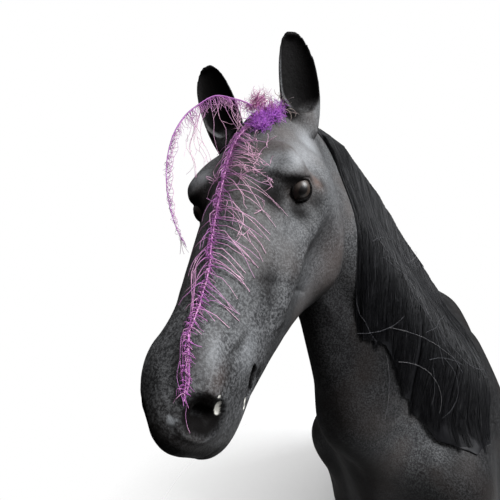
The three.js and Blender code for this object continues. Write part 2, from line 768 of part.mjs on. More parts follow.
function mane() {
  const outer = [];
  const inner = [];
  const crest = [0, 0, 0, 0, 0, 0, 0];
  const ahead = [0, 0, 0, 0, 0, 0, 0];
  const hem = [0, 0];
  for (let i = 0; i <= MANE_COLUMNS; i++) {
    const u = i / MANE_COLUMNS;
    neckAt(mix(MANE_FRONT, MANE_REAR, u), crest);
    neckAt(mix(MANE_FRONT, MANE_REAR, u) + 0.1, ahead);
    hemAt(u, hem);
    const [cb, cd] = crest;
    const run = hypot(ahead[0] - cb, ahead[1] - cd);
    const up = [0, -(ahead[1] - cd) / run, (ahead[0] - cb) / run];
    const ragged = 12 * Math.sin(7.3 * i) + 8 * Math.sin(2.9 * i + 1);
    const ends = [hem[0], hem[1] + ragged];
    const p1 = [cb + 110 * sq(1 - u) + 2 * u, cd + 78 * sq(1 - u) + 60 * u];
    const p2 = [ends[0] - 24 * (1 - u) + 30 * u, ends[1] - mix(190, 120, u)];
    for (let j = 0; j <= MANE_ROWS; j++) {
      let at;
      if (j < 3) {
        const x = [-15, 1, 16][j];
        at = meet([x, cb - POLL_FORWARD + up[1] * 70, POLL_HEIGHT - cd + up[2] * 70], [0, -up[1], -up[2]]);
      } else {
        const t = (j - 2) / (MANE_ROWS - 2);
        const w = [(1 - t) ** 3, 3 * t * sq(1 - t), 3 * sq(t) * (1 - t), t ** 3];
        const back = w[0] * cb + w[1] * p1[0] + w[2] * p2[0] + w[3] * ends[0];
        const down = w[0] * (cd + 16) + w[1] * p1[1] + w[2] * p2[1] + w[3] * ends[1];
        at = meet([330, back - POLL_FORWARD, POLL_HEIGHT - down], [-1, 0, 0]);
      }
      const n = normalAt(at);
      const edge = min(1, 0.35 + 2.2 * min(u, 1 - u) * 2) * min(1, 0.4 + 0.3 * j);
      const thinning = mix(1, 0.45, smooth01((j / MANE_ROWS - 0.5) * 2));
      const locks = 1 + 0.14 * Math.sin(i * 2.4 + 0.2 * j);
      const lift = MANE_THICKNESS * edge * thinning * locks;
      outer.push(at.map((v, k) => v + n.getComponent(k) * lift));
      inner.push(at.map((v, k) => v - n.getComponent(k) * MANE_ROOT_DEPTH));
    }
  }
  const rows = MANE_ROWS + 1;
  const total = outer.length;
  const faces = [];
  const quad = (a, b, c, d) => faces.push(a, b, c, a, c, d);
  for (let i = 0; i < MANE_COLUMNS; i++)
    for (let j = 0; j < MANE_ROWS; j++) {
      const a = i * rows + j;
      quad(a, a + 1, a + rows + 1, a + rows);
      quad(total + a, total + a + rows, total + a + rows + 1, total + a + 1);
    }
  for (let i = 0; i < MANE_COLUMNS; i++) {
    const a = i * rows;
    quad(a, a + rows, total + a + rows, total + a);
    const b = a + MANE_ROWS;
    quad(b + rows, b, total + b, total + b + rows);
  }
  for (let j = 0; j < MANE_ROWS; j++) {
    quad(j + 1, j, total + j, total + j + 1);
    const b = MANE_COLUMNS * rows + j;
    quad(b, b + 1, total + b + 1, total + b);
  }
  return { points: [...outer, ...inner].flat(), faces };
}

const maneSolid = solid(mane()).subtract(bodyGrown);

// Plume: a tuft of fluff on the poll that holds two stripped feathers. All places are in the
// head's frame.

const tuftBlobs = [
  { centre: [12, 22, -14], radii: [26, 24, 20] },
  { centre: [34, 34, -4], radii: [18, 22, 16] },
  { centre: [-8, 30, -20], radii: [18, 16, 16] },
  { centre: [22, 56, -8], radii: [18, 20, 12] },
  { centre: [0, 46, -16], radii: [18, 20, 13] },
  { centre: [26, 76, -3], radii: [13, 19, 9] },
];
const TUFT_TRIANGLES = 220;

function tuftField(x, y, z) {
  const [s, a, d] = toHeadFrame(x, y, z);
  let f = 1e3;
  for (const { centre, radii } of tuftBlobs) f = join(f, ellipsoid(s, a, d, centre, radii), 8);
  return f;
}
const tuftMiddle = fromHead(12, 34, -10);
const tuftMesh = simplify(
  meshField(tuftField, tuftMiddle.map((v) => v - 66), tuftMiddle.map((v) => v + 66), 5.5),
  TUFT_TRIANGLES,
);
const tuftSolid = solid(tuftMesh).subtract(bodyGrown);
const tuftGrown = solid(grown(tuftMesh, CLEARANCE * 1.4));

const SHAFT_RADIUS = 2.2;
const SHAFT_TIP_RADIUS = 1.2;
const BARB_RADIUS = 1.3;
const BARB_TIP_RADIUS = 0.9;
const FEATHER_LIFT = 5; // above the face

// The face feather lies along the face from the tuft to the nose: side and along.
const faceShaft = [
  [14, 36],
  [-2, 84],
  [-12, 131],
  [-13, 182],
  [-10, 233],
  [-4, 290],
  [3, 348],
  [12, 418],
  [17, 480],
  [22, 530],
  [28, 580],
];
const FACE_BARBS = 12;

function onFace(side, along, lift) {
  const start = fromHead(side, along, -90);
  const end = fromHead(side, along, 0);
  const way = end.map((v, k) => (v - start[k]) / 90);
  return meet(start, way, lift);
}

function faceFeather() {
  const path = faceShaft.map(([s, a], i) => onFace(s, a, i === 0 ? 9 : FEATHER_LIFT));
  let feather = solid(bar(path, 24, 5, SHAFT_RADIUS, SHAFT_TIP_RADIUS));
  const curve = new THREE.CatmullRomCurve3(faceShaft.map(([s, a]) => new THREE.Vector3(s, a, 0)));
  for (let i = 0; i < FACE_BARBS; i++)
    for (const side of [1, -1]) {
      const t = mix(0.13, 0.86, (i + (side < 0 ? 0.5 : 0)) / FACE_BARBS);
      const root = curve.getPointAt(t);
      const reach = side > 0 ? mix(62, 26, t) + 8 * Math.sin(5 * i) : mix(34, 20, t);
      const fall = side > 0 ? mix(66, 44, t) : 30 + 6 * Math.sin(3 * i);
      const barb = [0, 0.34, 0.67, 1].map((v) =>
        onFace(
          root.x + side * reach * v,
          root.y + fall * (0.45 * v + 0.55 * v * v),
          FEATHER_LIFT + (side > 0 ? 1.5 : 0.6) * Math.sin(Math.PI * v),
        ),
      );
      feather = feather.add(solid(bar(barb, 3, 3, BARB_RADIUS, BARB_TIP_RADIUS)));
    }
  return feather.subtract(tuftGrown).subtract(bodyGrown);
}

// The arched feather springs up, bends over beside the right eye and hangs free.
const archShaft = [
  [4, 26, -14],
  [-8, 40, -36],
  [-20, 53, -52],
  [-41, 72, -72],
  [-64, 107, -77],
  [-77, 140, -77],
  [-88, 180, -68],
  [-93, 222, -50],
  [-88, 264, -31],
  [-80, 296, -13],
  [-66, 328, 5],
  [-50, 352, 19],
];
const ARCH_BARBS = 15;

function archedFeather() {
  const path = archShaft.map((v) => fromHead(...v));
  let feather = solid(bar(path, 22, 5, SHAFT_RADIUS, SHAFT_TIP_RADIUS));
  const curve = new THREE.CatmullRomCurve3(path.map((v) => new THREE.Vector3(...v)));
  for (let i = 0; i < ARCH_BARBS; i++) {
    const t = mix(0.16, 0.9, i / ARCH_BARBS);
    const root = curve.getPointAt(t);
    const away = new THREE.Vector3(i % 2 ? 0.5 : -0.35, i % 3 ? -0.3 : 0.35, 0.1);
    const hang = mix(44, 22, t) * (0.8 + 0.3 * Math.sin(4 * i));
    const barb = [0, 0.3, 0.65, 1].map((v) =>
      root
        .clone()
        .addScaledVector(away, 22 * v)
        .add(new THREE.Vector3(0, 0, -hang * v * v))
        .toArray(),
    );
    feather = feather.add(solid(bar(barb, 3, 3, BARB_RADIUS, BARB_TIP_RADIUS)));
  }
  return feather.subtract(tuftGrown).subtract(bodyGrown);
}

// The pieces and their looks

const coat = { color: 0x2b2b2d, roughness: 0.78, metalness: 0 };
const glass = { color: 0x1d110b, roughness: 0.08, metalness: 0 };
const hair = { color: 0x101012, roughness: 0.42, metalness: 0 };
const fluff = { color: 0x8a3bc4, roughness: 0.7, metalness: 0 };
const plume = { color: 0xa65bb5, roughness: 0.62, metalness: 0 };

const horseGroup = new THREE.Group();
horseGroup.name = "horse";

function piece(name, { points, faces }, look) {
  const geometry = new THREE.BufferGeometry();
  geometry.setAttribute("position", new THREE.Float32BufferAttribute(points, 3));
  geometry.setIndex(faces);
  geometry.computeVertexNormals();
  const mesh = new THREE.Mesh(geometry, new THREE.MeshStandardMaterial(look));
  mesh.name = name;
  horseGroup.add(mesh);
}

piece("horse_bust", meshOf(horse), coat);
piece("left_eye", outward(eyeball(1, EYE_RADIUS)), glass);
piece("right_eye", outward(eyeball(-1, EYE_RADIUS)), glass);
piece("mane", meshOf(maneSolid), hair);
piece("plume_tuft", meshOf(tuftSolid), fluff);
piece("face_feather", meshOf(faceFeather()), plume);
piece("arched_feather", meshOf(archedFeather()), plume);

export default horseGroup;
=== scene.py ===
import math
import random

import bmesh
import bpy
import numpy as np
from mathutils import Matrix, Vector
from mathutils.bvhtree import BVHTree


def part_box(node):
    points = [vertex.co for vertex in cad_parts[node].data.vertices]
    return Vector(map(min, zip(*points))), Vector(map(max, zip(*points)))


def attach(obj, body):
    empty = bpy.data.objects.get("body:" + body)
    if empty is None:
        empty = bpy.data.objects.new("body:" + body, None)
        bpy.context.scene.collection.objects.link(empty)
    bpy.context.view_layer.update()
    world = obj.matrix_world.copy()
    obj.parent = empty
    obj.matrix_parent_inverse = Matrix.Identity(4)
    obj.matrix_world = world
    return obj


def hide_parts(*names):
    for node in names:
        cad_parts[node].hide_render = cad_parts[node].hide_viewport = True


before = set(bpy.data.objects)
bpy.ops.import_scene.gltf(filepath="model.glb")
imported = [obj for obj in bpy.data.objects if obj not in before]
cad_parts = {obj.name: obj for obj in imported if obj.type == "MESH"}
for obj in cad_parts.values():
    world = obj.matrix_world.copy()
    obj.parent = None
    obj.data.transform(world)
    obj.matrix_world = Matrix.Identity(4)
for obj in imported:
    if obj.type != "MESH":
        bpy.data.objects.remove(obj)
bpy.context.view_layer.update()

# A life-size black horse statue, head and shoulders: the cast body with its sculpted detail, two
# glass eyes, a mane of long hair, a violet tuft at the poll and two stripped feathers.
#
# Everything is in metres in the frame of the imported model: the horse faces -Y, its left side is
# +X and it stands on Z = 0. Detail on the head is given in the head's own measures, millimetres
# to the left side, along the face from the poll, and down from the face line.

bl_info = {
    "name": "Horse Statue",
    "version": (1, 0, 0),
    "blender": (4, 5, 0),
    "location": "3D View > Sidebar > Horse Statue",
    "description": "Builds a life-size horse statue with a real-hair mane and a feather plume",
    "category": "Add Mesh",
}

MM = 0.001
POLL = Vector((0, -0.570, 1.020))
HEAD_TURN = math.radians(26.5)
HEAD_DROP = math.radians(43)
HEAD_TILT = math.radians(5)

EYE_CENTRE = (83, 214, 57)
EYE_RADIUS = 19
EYE_AXIS = Vector((0.56, 0.76, -0.32)).normalized()
EAR_FOOT = (74, 18, 44)
EAR_TIP = (102, -86, -85)
NOSTRIL = [(32, 572, 42), (35, 569, 56)]
MOUTH_CORNER = [(46, 498, 100), (43, 511, 113)]
FOLD = [(46, 470, 60), (47, 509, 46), (50, 533, 43), (48, 549, 52)]
FINER_PLACES = [(33, 569, 43), (46, 492, 106), (-33, 569, 43), (-46, 492, 106), (40, 540, 86)]
FINER_REACH = 34  # round those places and the eyes, where the faces are split once
FINEST_REACH = 27  # round the eyes, where they are split again

LID_REACH = math.radians(60)  # half the opening between the lids, forward and back
UPPER_LID = math.radians(44)  # how far the lids open above the eye's axis
LOWER_LID = math.radians(42)  # and below it
CORNEA_RISE = 0.045  # share of the eye's radius that the cornea stands out
CORNEA_WIDTH = 0.55  # in radians from the eye's axis
PUPIL_STRETCH = 1.35  # the pupil's width over its height

FACE_SHAFT_RADIUS = 0.0021
ARCH_SHAFT_RADIUS = 0.0015
FINE_BARB = 0.0004  # radius of the stubs and curls
NET_BARB = 0.0003  # radius of the threads in the arched feather
FACE_LIFT = 4.5  # millimetres that the face feather lies over the coat
PALE_REACH = 0.04  # distance from the shaft at which a barb has its palest colour

CAMERA_PLACE = (0.5463, -1.0764, 0.7529)
CAMERA_TURN = math.radians(50)  # to its left from looking along +Y
CAMERA_ROLL = math.radians(4)
CAMERA_LENS = 28.08
LIGHT_AIM = (0.05, -0.55, 0.75)


# Sizes and colours


def length_setting(name, description, value, least=0.0001):
    return bpy.props.FloatProperty(
        name=name, description=description, default=value, min=least, unit="LENGTH"
    )


def count_setting(name, description, value, least=10):
    return bpy.props.IntProperty(name=name, description=description, default=value, min=least)


def colour_setting(name, description, value):
    return bpy.props.FloatVectorProperty(
        name=name, description=description, subtype="COLOR", size=3, min=0, max=1, default=value
    )


class HorseSizes(bpy.types.PropertyGroup):
    """Sizes and counts of the statue's finer parts"""

    sculpt_edge: length_setting("Sculpt edge", "Spacing of the statue's sculpted points", 0.003, 0.002)
    statue_triangles: count_setting("Statue triangles", "Triangles left in the statue", 190000, 10000)
    lid_thickness: length_setting("Lid thickness", "How far the eyelids stand over the eyeball", 0.0026)
    locks: count_setting("Locks", "Thick strands in the mane", 2100)
    hairs: count_setting("Hairs", "Fine strands over the locks", 2200)
    lock_radius: length_setting("Lock radius", "Radius of a thick strand", 0.0011)
    hair_radius: length_setting("Hair radius", "Radius of a fine strand", 0.00045)
    barb_radius: length_setting("Barb radius", "Radius of a feather's barb", 0.0006)
    tuft_fibres: count_setting("Tuft fibres", "Curled fibres in the tuft", 900)


class HorseColours(bpy.types.PropertyGroup):
    """Colours of the statue's finishes"""

    coat: colour_setting("Coat", "Painted coat, between its grains", (0.011, 0.011, 0.012))
    coat_light: colour_setting("Coat grain", "Pale grains of the coat", (0.098, 0.099, 0.102))
    coat_brown: colour_setting("Coat brown", "Warm cast in the worn places", (0.060, 0.046, 0.040))
    chip: colour_setting("Chip", "Pale filler under the paint", (0.62, 0.60, 0.55))
    eye: colour_setting("Eye", "Glass of the iris", (0.026, 0.018, 0.014))
    hair: colour_setting("Hair", "Mane hair", (0.005, 0.005, 0.006))
    feather: colour_setting("Feather", "Shaft and roots of the barbs", (0.25, 0.042, 0.25))
    feather_tip: colour_setting("Feather tip", "Ends of the barbs", (0.60, 0.35, 0.47))
    fluff: colour_setting("Fluff", "Tuft at the poll", (0.30, 0.055, 0.44))
    floor: colour_setting("Floor", "Plain studio floor", (0.84, 0.84, 0.84))


# Small tools


def head_axes():
    """The head's side, along and down directions, as the columns of a matrix."""
    facing = Vector((math.sin(HEAD_TURN), -math.cos(HEAD_TURN), 0))
    tilt = Matrix.Rotation(HEAD_TILT, 3, facing)
    side = tilt @ Vector((math.cos(HEAD_TURN), math.sin(HEAD_TURN), 0))
    up = tilt @ Vector((0, 0, 1))
    along = facing * math.cos(HEAD_DROP) - up * math.sin(HEAD_DROP)
    down = -facing * math.sin(HEAD_DROP) - up * math.cos(HEAD_DROP)
    return Matrix((side, along, down)).transposed()


HEAD = head_axes()
HEAD_ARRAY = np.array(HEAD)


def on_head(side, along, down):
    """A point of the head, given in its own millimetres."""
    return POLL + HEAD @ Vector((side, along, down)) * MM


def to_head(points):
    """Points in metres as the head's own millimetres."""
    return (points - np.array(POLL)) @ HEAD_ARRAY / MM


def to_body(points):
    """Points in metres as distance from the middle, back from the poll and below it."""
    away = (points - np.array(POLL)) / MM
    return np.stack([np.abs(points[:, 0]) / MM, away[:, 1], -away[:, 2]], axis=1)


def ease(t):
    t = np.clip(t, 0, 1)
    return t * t * (3 - 2 * t)


def folded(local):
    """Points of the head with its right side laid over its left."""
    sided = local.copy()
    sided[:, 0] = np.abs(sided[:, 0])
    return sided


def distance_to_line(points, line):
    """Each point's distance from a line of points."""
    best = np.full(len(points), 1e9)
    line = np.array(line, float)
    for a, b in zip(line[:-1], line[1:]):
        ab = b - a
        t = np.clip((points - a) @ ab / (ab @ ab), 0, 1)
        best = np.minimum(best, np.linalg.norm(points - a - t[:, None] * ab, axis=1))
    return best


def around(points, centre, radii):
    """1 at the centre, falling smoothly to 0 about one radius out."""
    gap = (points - np.array(centre, float)) / np.array(radii, float)
    return np.exp(-1.6 * (gap * gap).sum(axis=1))


def positions(mesh):
    co = np.empty(len(mesh.vertices) * 3)
    mesh.vertices.foreach_get("co", co)
    return co.reshape(-1, 3)


def directions(mesh):
    out = np.empty(len(mesh.vertices) * 3)
    mesh.vertex_normals.foreach_get("vector", out)
    return out.reshape(-1, 3)


def put_positions(mesh, co):
    mesh.vertices.foreach_set("co", co.astype(np.float32).ravel())
    mesh.update()


def put_attribute(mesh, name, values):
    layer = mesh.attributes.new(name, "FLOAT", "POINT")
    layer.data.foreach_set("value", np.asarray(values, np.float32))


def relax(co, edges, share, rounds):
    """Each point moves by its share towards the middle of its neighbours."""
    a, b = edges[:, 0], edges[:, 1]
    near = np.bincount(edges.ravel(), minlength=len(co))[:, None]
    for _ in range(rounds):
        total = np.stack(
            [
                np.bincount(a, co[b, k], len(co)) + np.bincount(b, co[a, k], len(co))
                for k in range(3)
            ],
            axis=1,
        )
        co = co + share[:, None] * (total / near - co)
    return co


def edge_list(mesh):
    edges = np.empty(len(mesh.edges) * 2, np.int64)
    mesh.edges.foreach_get("vertices", edges)
    return edges.reshape(-1, 2)


def new_object(name, data):
    made = bpy.data.objects.new(name, data)
    bpy.context.scene.collection.objects.link(made)
    return made


def apply_modifiers(piece):
    """The piece's mesh becomes what its modifiers make of it."""
    graph = bpy.context.evaluated_depsgraph_get()
    mesh = bpy.data.meshes.new_from_object(piece.evaluated_get(graph))
    piece.modifiers.clear()
    piece.data = mesh
    return mesh


def merged_copy(node):
    """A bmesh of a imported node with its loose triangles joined."""
    bm = bmesh_of(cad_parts[node].data)
    bmesh.ops.remove_doubles(bm, verts=bm.verts, dist=2e-5)
    return bm


def bmesh_of(mesh):
    bm = bmesh.new()
    bm.from_mesh(mesh)
    return bm


def write_mesh(bm, mesh):
    """A mesh takes the bmesh's faces, and the bmesh is freed."""
    bm.to_mesh(mesh)
    bm.free()
    return mesh


def round_off(piece):
    """Rounds a piece's faces off twice."""
    rounding = piece.modifiers.new("Rounding", "SUBSURF")
    rounding.levels = rounding.render_levels = 2
    apply_modifiers(piece)
    return piece


def dress(piece, material):
    """Shades a piece smoothly in one material."""
    mesh = piece.data
    mesh.polygons.foreach_set("use_smooth", [True] * len(mesh.polygons))
    mesh.materials.clear()
    mesh.materials.append(material)
    return piece


def tree_of(*bms):
    """A search tree over the faces of some bmeshes, in order."""
    points, faces = [], []
    for bm in bms:
        start = len(points)
        bm.verts.ensure_lookup_table()
        points += [v.co.copy() for v in bm.verts]
        faces += [[v.index + start for v in f.verts] for f in bm.faces]
    return BVHTree.FromPolygons(points, faces)


def tapered(thick, loss, steps):
    """Radii of a strand that loses a share of its thickness on the way."""
    return [thick * (1 - loss * k / steps) for k in range(steps)]


def strands_piece(name, strands, material):
    """A mesh of thin tapered strands. Each strand is its points and its radii."""
    curve = bpy.data.curves.new(name, "CURVE")
    curve.dimensions = "3D"
    curve.bevel_depth = 1.0
    curve.bevel_resolution = 0
    curve.use_fill_caps = True
    for points, radii in strands:
        spline = curve.splines.new("POLY")
        spline.points.add(len(points) - 1)
        flat = [c for p in points for c in (p[0], p[1], p[2], 1.0)]
        spline.points.foreach_set("co", flat)
        spline.points.foreach_set("radius", list(radii))
    line = new_object(name + "_line", curve)
    graph = bpy.context.evaluated_depsgraph_get()
    mesh = bpy.data.meshes.new_from_object(line.evaluated_get(graph))
    bpy.data.objects.remove(line)
    bpy.data.curves.remove(curve)
    mesh.name = name
    return dress(new_object(name, mesh), material)


def finish_piece(piece, slot, *nodes):
    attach(piece, "root")
    if nodes:
        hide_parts(*nodes)


# Materials


class Nodes:
    """A material's nodes, added by name with their values and links."""

    def __init__(self, name):
        self.material = bpy.data.materials.new(name)
        self.material.use_nodes = True
        self.tree = self.material.node_tree
        self.tree.nodes.clear()
        self.out = self.tree.nodes.new("ShaderNodeOutputMaterial")
        self.shader = self.add("ShaderNodeBsdfPrincipled")
        self.tree.links.new(self.shader.outputs[0], self.out.inputs[0])
        self.where = self.add("ShaderNodeTexCoord").outputs["Object"]

    def feed(self, socket, value):
        """Links a socket to another one, or sets its plain value."""
        if isinstance(value, bpy.types.NodeSocket):
            self.tree.links.new(value, socket)
        elif hasattr(value, "__len__"):
            value = tuple(value)
            socket.default_value = value + (1.0,) if len(socket.default_value) > len(value) else value
        else:
            socket.default_value = value

    def add(self, kind, settings=None, **inputs):
        node = self.tree.nodes.new(kind)
        for key, value in (settings or {}).items():
            setattr(node, key, value)
        for key, value in inputs.items():
            self.feed(node.inputs[key.replace("_", " ")], value)
        return node

    def noise(self, scale, detail=3.0, roughness=0.6, where=None):
        where = where or self.where
        inputs = {"Vector": where, "Scale": scale, "Detail": detail, "Roughness": roughness}
        return self.add("ShaderNodeTexNoise", **inputs).outputs["Fac"]

    def ramp(self, value, low, high, to_low=0.0, to_high=1.0):
        ends = {"From_Min": low, "From_Max": high, "To_Min": to_low, "To_Max": to_high}
        return self.add("ShaderNodeMapRange", {"clamp": True}, Value=value, **ends).outputs[0]

    def maths(self, operation, a, b):
        node = self.add("ShaderNodeMath", {"operation": operation})
        for socket, value in zip(node.inputs, (a, b)):
            self.feed(socket, value)
        return node.outputs[0]

    def mix(self, factor, a, b):
        """Mixes two colours."""
        node = self.add("ShaderNodeMix", {"data_type": "RGBA"})
        for index, value in ((0, factor), (6, a), (7, b)):
            self.feed(node.inputs[index], value)
        return node.outputs[2]

    def attribute(self, name):
        return self.add("ShaderNodeAttribute", {"attribute_name": name}).outputs["Fac"]

    def island(self):
        """A random number for each loose part."""
        return self.add("ShaderNodeNewGeometry").outputs["Random Per Island"]

    def bump(self, height, distance, strength, after=None):
        node = self.add("ShaderNodeBump", Height=height, Distance=distance, Strength=strength)
        if after is not None:
            self.tree.links.new(after, node.inputs["Normal"])
        return node.outputs[0]

    def finish(self, **inputs):
        for key, value in inputs.items():
            self.feed(self.shader.inputs[key.replace("_", " ")], value)
        return self.material


def coat_material(colours):
    n = Nodes("coat")
    grain = n.noise(300, 3.0, 0.8)
    speck = n.noise(90, 3.0, 0.75)
    patch = n.noise(24, 4.0, 0.65)
    wide = n.noise(7, 2.0, 0.5)
    light = n.maths("ADD", n.ramp(grain, 0.455, 0.585, 0, 1.12), n.ramp(speck, 0.42, 0.64, 0, 0.28))
    light = n.maths("MULTIPLY", light, n.ramp(patch, 0.30, 0.66, 0.45, 1.0))
    base = n.mix(light, colours.coat, colours.coat_light)
    base = n.mix(n.ramp(wide, 0.48, 0.66, 0, 0.5), base, colours.coat_brown)
    # Painted highlights on the lit brow, forehead, cheeks and nose, and real pale scuffs, turn the coat
    # pale bluish grey here.
    worn = n.maths("MULTIPLY", n.attribute("dust"), n.ramp(grain, 0.3, 0.6, 0.55, 1.0))
    base = n.mix(worn, base, (0.225, 0.232, 0.242))
    # Painted shade from the shade attribute darkens the coat nearly to black and dulls its shine.
    shade = n.attribute("shade")
    base = n.mix(n.ramp(shade, 0, 0.97, 0, 1), base, (0.0030, 0.0026, 0.0026))
    base = n.mix(n.attribute("warm"), base, (0.085, 0.040, 0.024))
    base = n.mix(n.attribute("chip"), base, colours.chip)
    rough = n.ramp(grain, 0.3, 0.7, 0.50, 0.80)
    bump = n.bump(grain, 0.0011, 0.5)
    bump = n.bump(speck, 0.0018, 0.4, bump)
    bump = n.bump(patch, 0.004, 0.3, bump)
    shine = n.ramp(shade, 0, 0.8, 0.30, 0.04)
    return n.finish(Base_Color=base, Roughness=rough, Normal=bump, Specular_IOR_Level=shine)


def eye_material(colours):
    n = Nodes("eye_glass")
    out = n.attribute("gaze")
    fibre = n.noise(700, 3.0, 0.6)
    iris = n.mix(n.ramp(fibre, 0.35, 0.7), colours.eye, (0.044, 0.033, 0.027))
    iris = n.mix(n.ramp(out, 0.30, 0.36), (0.006, 0.005, 0.005), iris)
    iris = n.mix(n.ramp(out, 0.60, 0.72), iris, (0.024, 0.018, 0.014))
    return n.finish(Base_Color=iris, Roughness=0.40, Specular_IOR_Level=0.35)


def hair_material(name, colour_value, pale, roughness):
    n = Nodes(name)
    each = n.island()
    lengthwise = n.add("ShaderNodeMapping", Vector=n.where, Scale=(260, 260, 12)).outputs[0]
    along = n.noise(1.0, 2.0, 0.5, lengthwise)
    tone = n.maths("MULTIPLY", n.ramp(each, 0.70, 1.0, 0.08, 1.0), n.ramp(along, 0.35, 0.70))
    base = n.mix(tone, colour_value, pale)
    return n.finish(Base_Color=base, Roughness=roughness, Specular_IOR_Level=0.15)


def feather_material(colours):
    n = Nodes("stripped_feather")
    reach = n.attribute("reach")
    each = n.island()
    patch = n.noise(120, 2.0, 0.5)
    base = n.mix(n.ramp(reach, 0.02, 0.8), colours.feather, colours.feather_tip)
    base = n.mix(n.ramp(each, 0.6, 1.0, 0, 0.45), base, (0.26, 0.08, 0.31))
    base = n.mix(n.ramp(each, 0.0, 0.3, 0.55, 0.0), base, (0.70, 0.42, 0.55))
    base = n.mix(n.ramp(patch, 0.52, 0.75, 0, 0.4), base, (0.16, 0.03, 0.14))
    return n.finish(Base_Color=base, Roughness=0.55)


def fluff_material(name, deep, pale):
    n = Nodes(name)
    each = n.island()
    base = n.mix(n.ramp(each, 0.2, 1.0, 0, 0.9), deep, pale)
    return n.finish(Base_Color=base, Roughness=0.7)


def floor_material(colours):
    """The floor's rim fades out, so that no horizon crosses the picture."""
    n = Nodes("studio_floor")
    length = n.add("ShaderNodeVectorMath", {"operation": "LENGTH"})
    n.tree.links.new(n.where, length.inputs[0])
    fade = n.ramp(length.outputs["Value"], 0.30, 1.0, 1.0, 0.0)
    grain = n.noise(40, 3.0, 0.5)
    base = n.mix(grain, colours.floor, tuple(0.97 * c for c in colours.floor))
    return n.finish(Base_Color=base, Roughness=0.8, Alpha=fade)


# The cast statue


def eye_frame(mirror):
    """Centre and the outward, forward and upward directions of an eye, in the head's frame."""
    centre = Vector(EYE_CENTRE)
    axis = EYE_AXIS.copy()
    if mirror < 0:
        centre.x, axis.x = -centre.x, -axis.x
    forward = Vector((0, 1, 0))
    forward = (forward - axis * forward.dot(axis)).normalized()
    upward = axis.cross(forward) * mirror
    if upward.z > 0:
        upward = -upward
    return centre, axis, forward, upward


def gaze_angles(local, mirror):
    """For points in the head's frame: distance from the eye's centre, and the angles forward and
    up from its axis."""
    centre, axis, forward, upward = eye_frame(mirror)
    gap = local - np.array(centre)
    out = gap @ np.array(axis)
    reach = np.linalg.norm(gap, axis=1)
    sideways = np.arctan2(gap @ np.array(forward), np.maximum(out, 1e-3))
    above = np.arctan2(gap @ np.array(upward), np.maximum(out, 1e-3))
    return reach, sideways, above, out


def lid_gap(sideways, above):
    """How far, in radians, a direction lies outside the opening between the lids."""
    t = np.clip(np.abs(sideways) / LID_REACH, 0, 1)
    lens = (1 - t**2.4) ** 0.7
    limit = np.where(above > 0, UPPER_LID, LOWER_LID) * lens
    return np.maximum(np.abs(above) - limit, np.abs(sideways) - LID_REACH)


def refine_near(bm, centres, reach):
    """Splits the faces near some points once."""
    reach = reach * MM
    chosen = [e for e in bm.edges if any((e.verts[0].co - c).length < reach for c in centres)]
    bmesh.ops.subdivide_edges(bm, edges=chosen, cuts=1, use_grid_fill=True)


# Ridges and grooves of the head: a line of points, its half-width and its height in millimetres.
HEAD_STROKES = [
    ([(44, 220, 3), (60, 226, 9), (77, 228, 16), (93, 218, 29), (104, 196, 48)], 9, 3.6),
    ([(44, 254, 12), (58, 258, 24), (66, 256, 40)], 17, -4.0),
    ([(72, 374, 94), (67, 352, 124), (60, 330, 158)], 4, -1.3),
    ([(66, 348, 132), (58, 300, 196)], 4, -1.0),
    ([(74, 330, 120), (86, 296, 150), (94, 270, 190)], 4, -1.0),
    ([(58, 396, 58), (66, 384, 78), (70, 372, 96)], 6, -2.0),
    ([(42, 466, 106), (37, 482, 130)], 9, 5),
    ([(84, 244, 88), (82, 300, 104), (72, 352, 112), (62, 392, 110)], 8, 2.6),
    ([(60, 352, 76), (64, 392, 84), (58, 430, 92)], 18, -4.0),
    ([(92, 286, 128), (80, 330, 140), (66, 380, 138)], 12, -2.4),
    ([(70, 262, 48), (64, 320, 66), (56, 380, 72), (52, 440, 62), (48, 490, 52)], 5, 1.2),
    ([(86, 300, 150), (70, 350, 158), (60, 410, 128), (52, 450, 96)], 4, 1.0),
    ([(96, 170, 262), (98, 214, 262), (90, 262, 246), (76, 306, 220)], 8, 1.6),
    ([(70, 210, 150), (84, 262, 168), (72, 320, 176)], 12, -1.5),
    ([(47, 500, 48), (50, 520, 40), (51, 538, 43), (49, 550, 53), (44, 562, 66)], 4, -2.8),
    ([(40, 508, 18), (43, 534, 20), (44, 548, 30)], 12, 2.4),
    ([(48, 478, 66), (48, 500, 80)], 14, 1.8),
    ([(36, 502, 124), (34, 524, 114), (28, 552, 110), (16, 580, 106), (0, 596, 102)], 3, -2.6),
    ([(49, 478, 106), (48, 500, 110), (46, 496, 132), (38, 480, 150)], 4, 1.4),
]

# The same for the neck and chest: from the middle, back from the poll and below it.
BODY_STROKES = [
    ([(60, 110, 330), (70, 200, 440), (84, 290, 560), (100, 350, 700)], 18, -5),
    ([(40, 90, 370), (50, 190, 500), (60, 270, 600)], 16, 4),
    ([(86, 230, 300), (110, 380, 420), (150, 520, 540)], 30, 4),
    ([(120, 330, 560), (176, 320, 800), (190, 330, 980)], 24, -5),
    ([(0, 220, 560), (0, 190, 680), (0, 220, 800)], 20, -6),
]

SKYWARD = np.array([0.50, 0.02, 0.86])  # the way the painted light comes from: surfaces facing away from it get painted shade
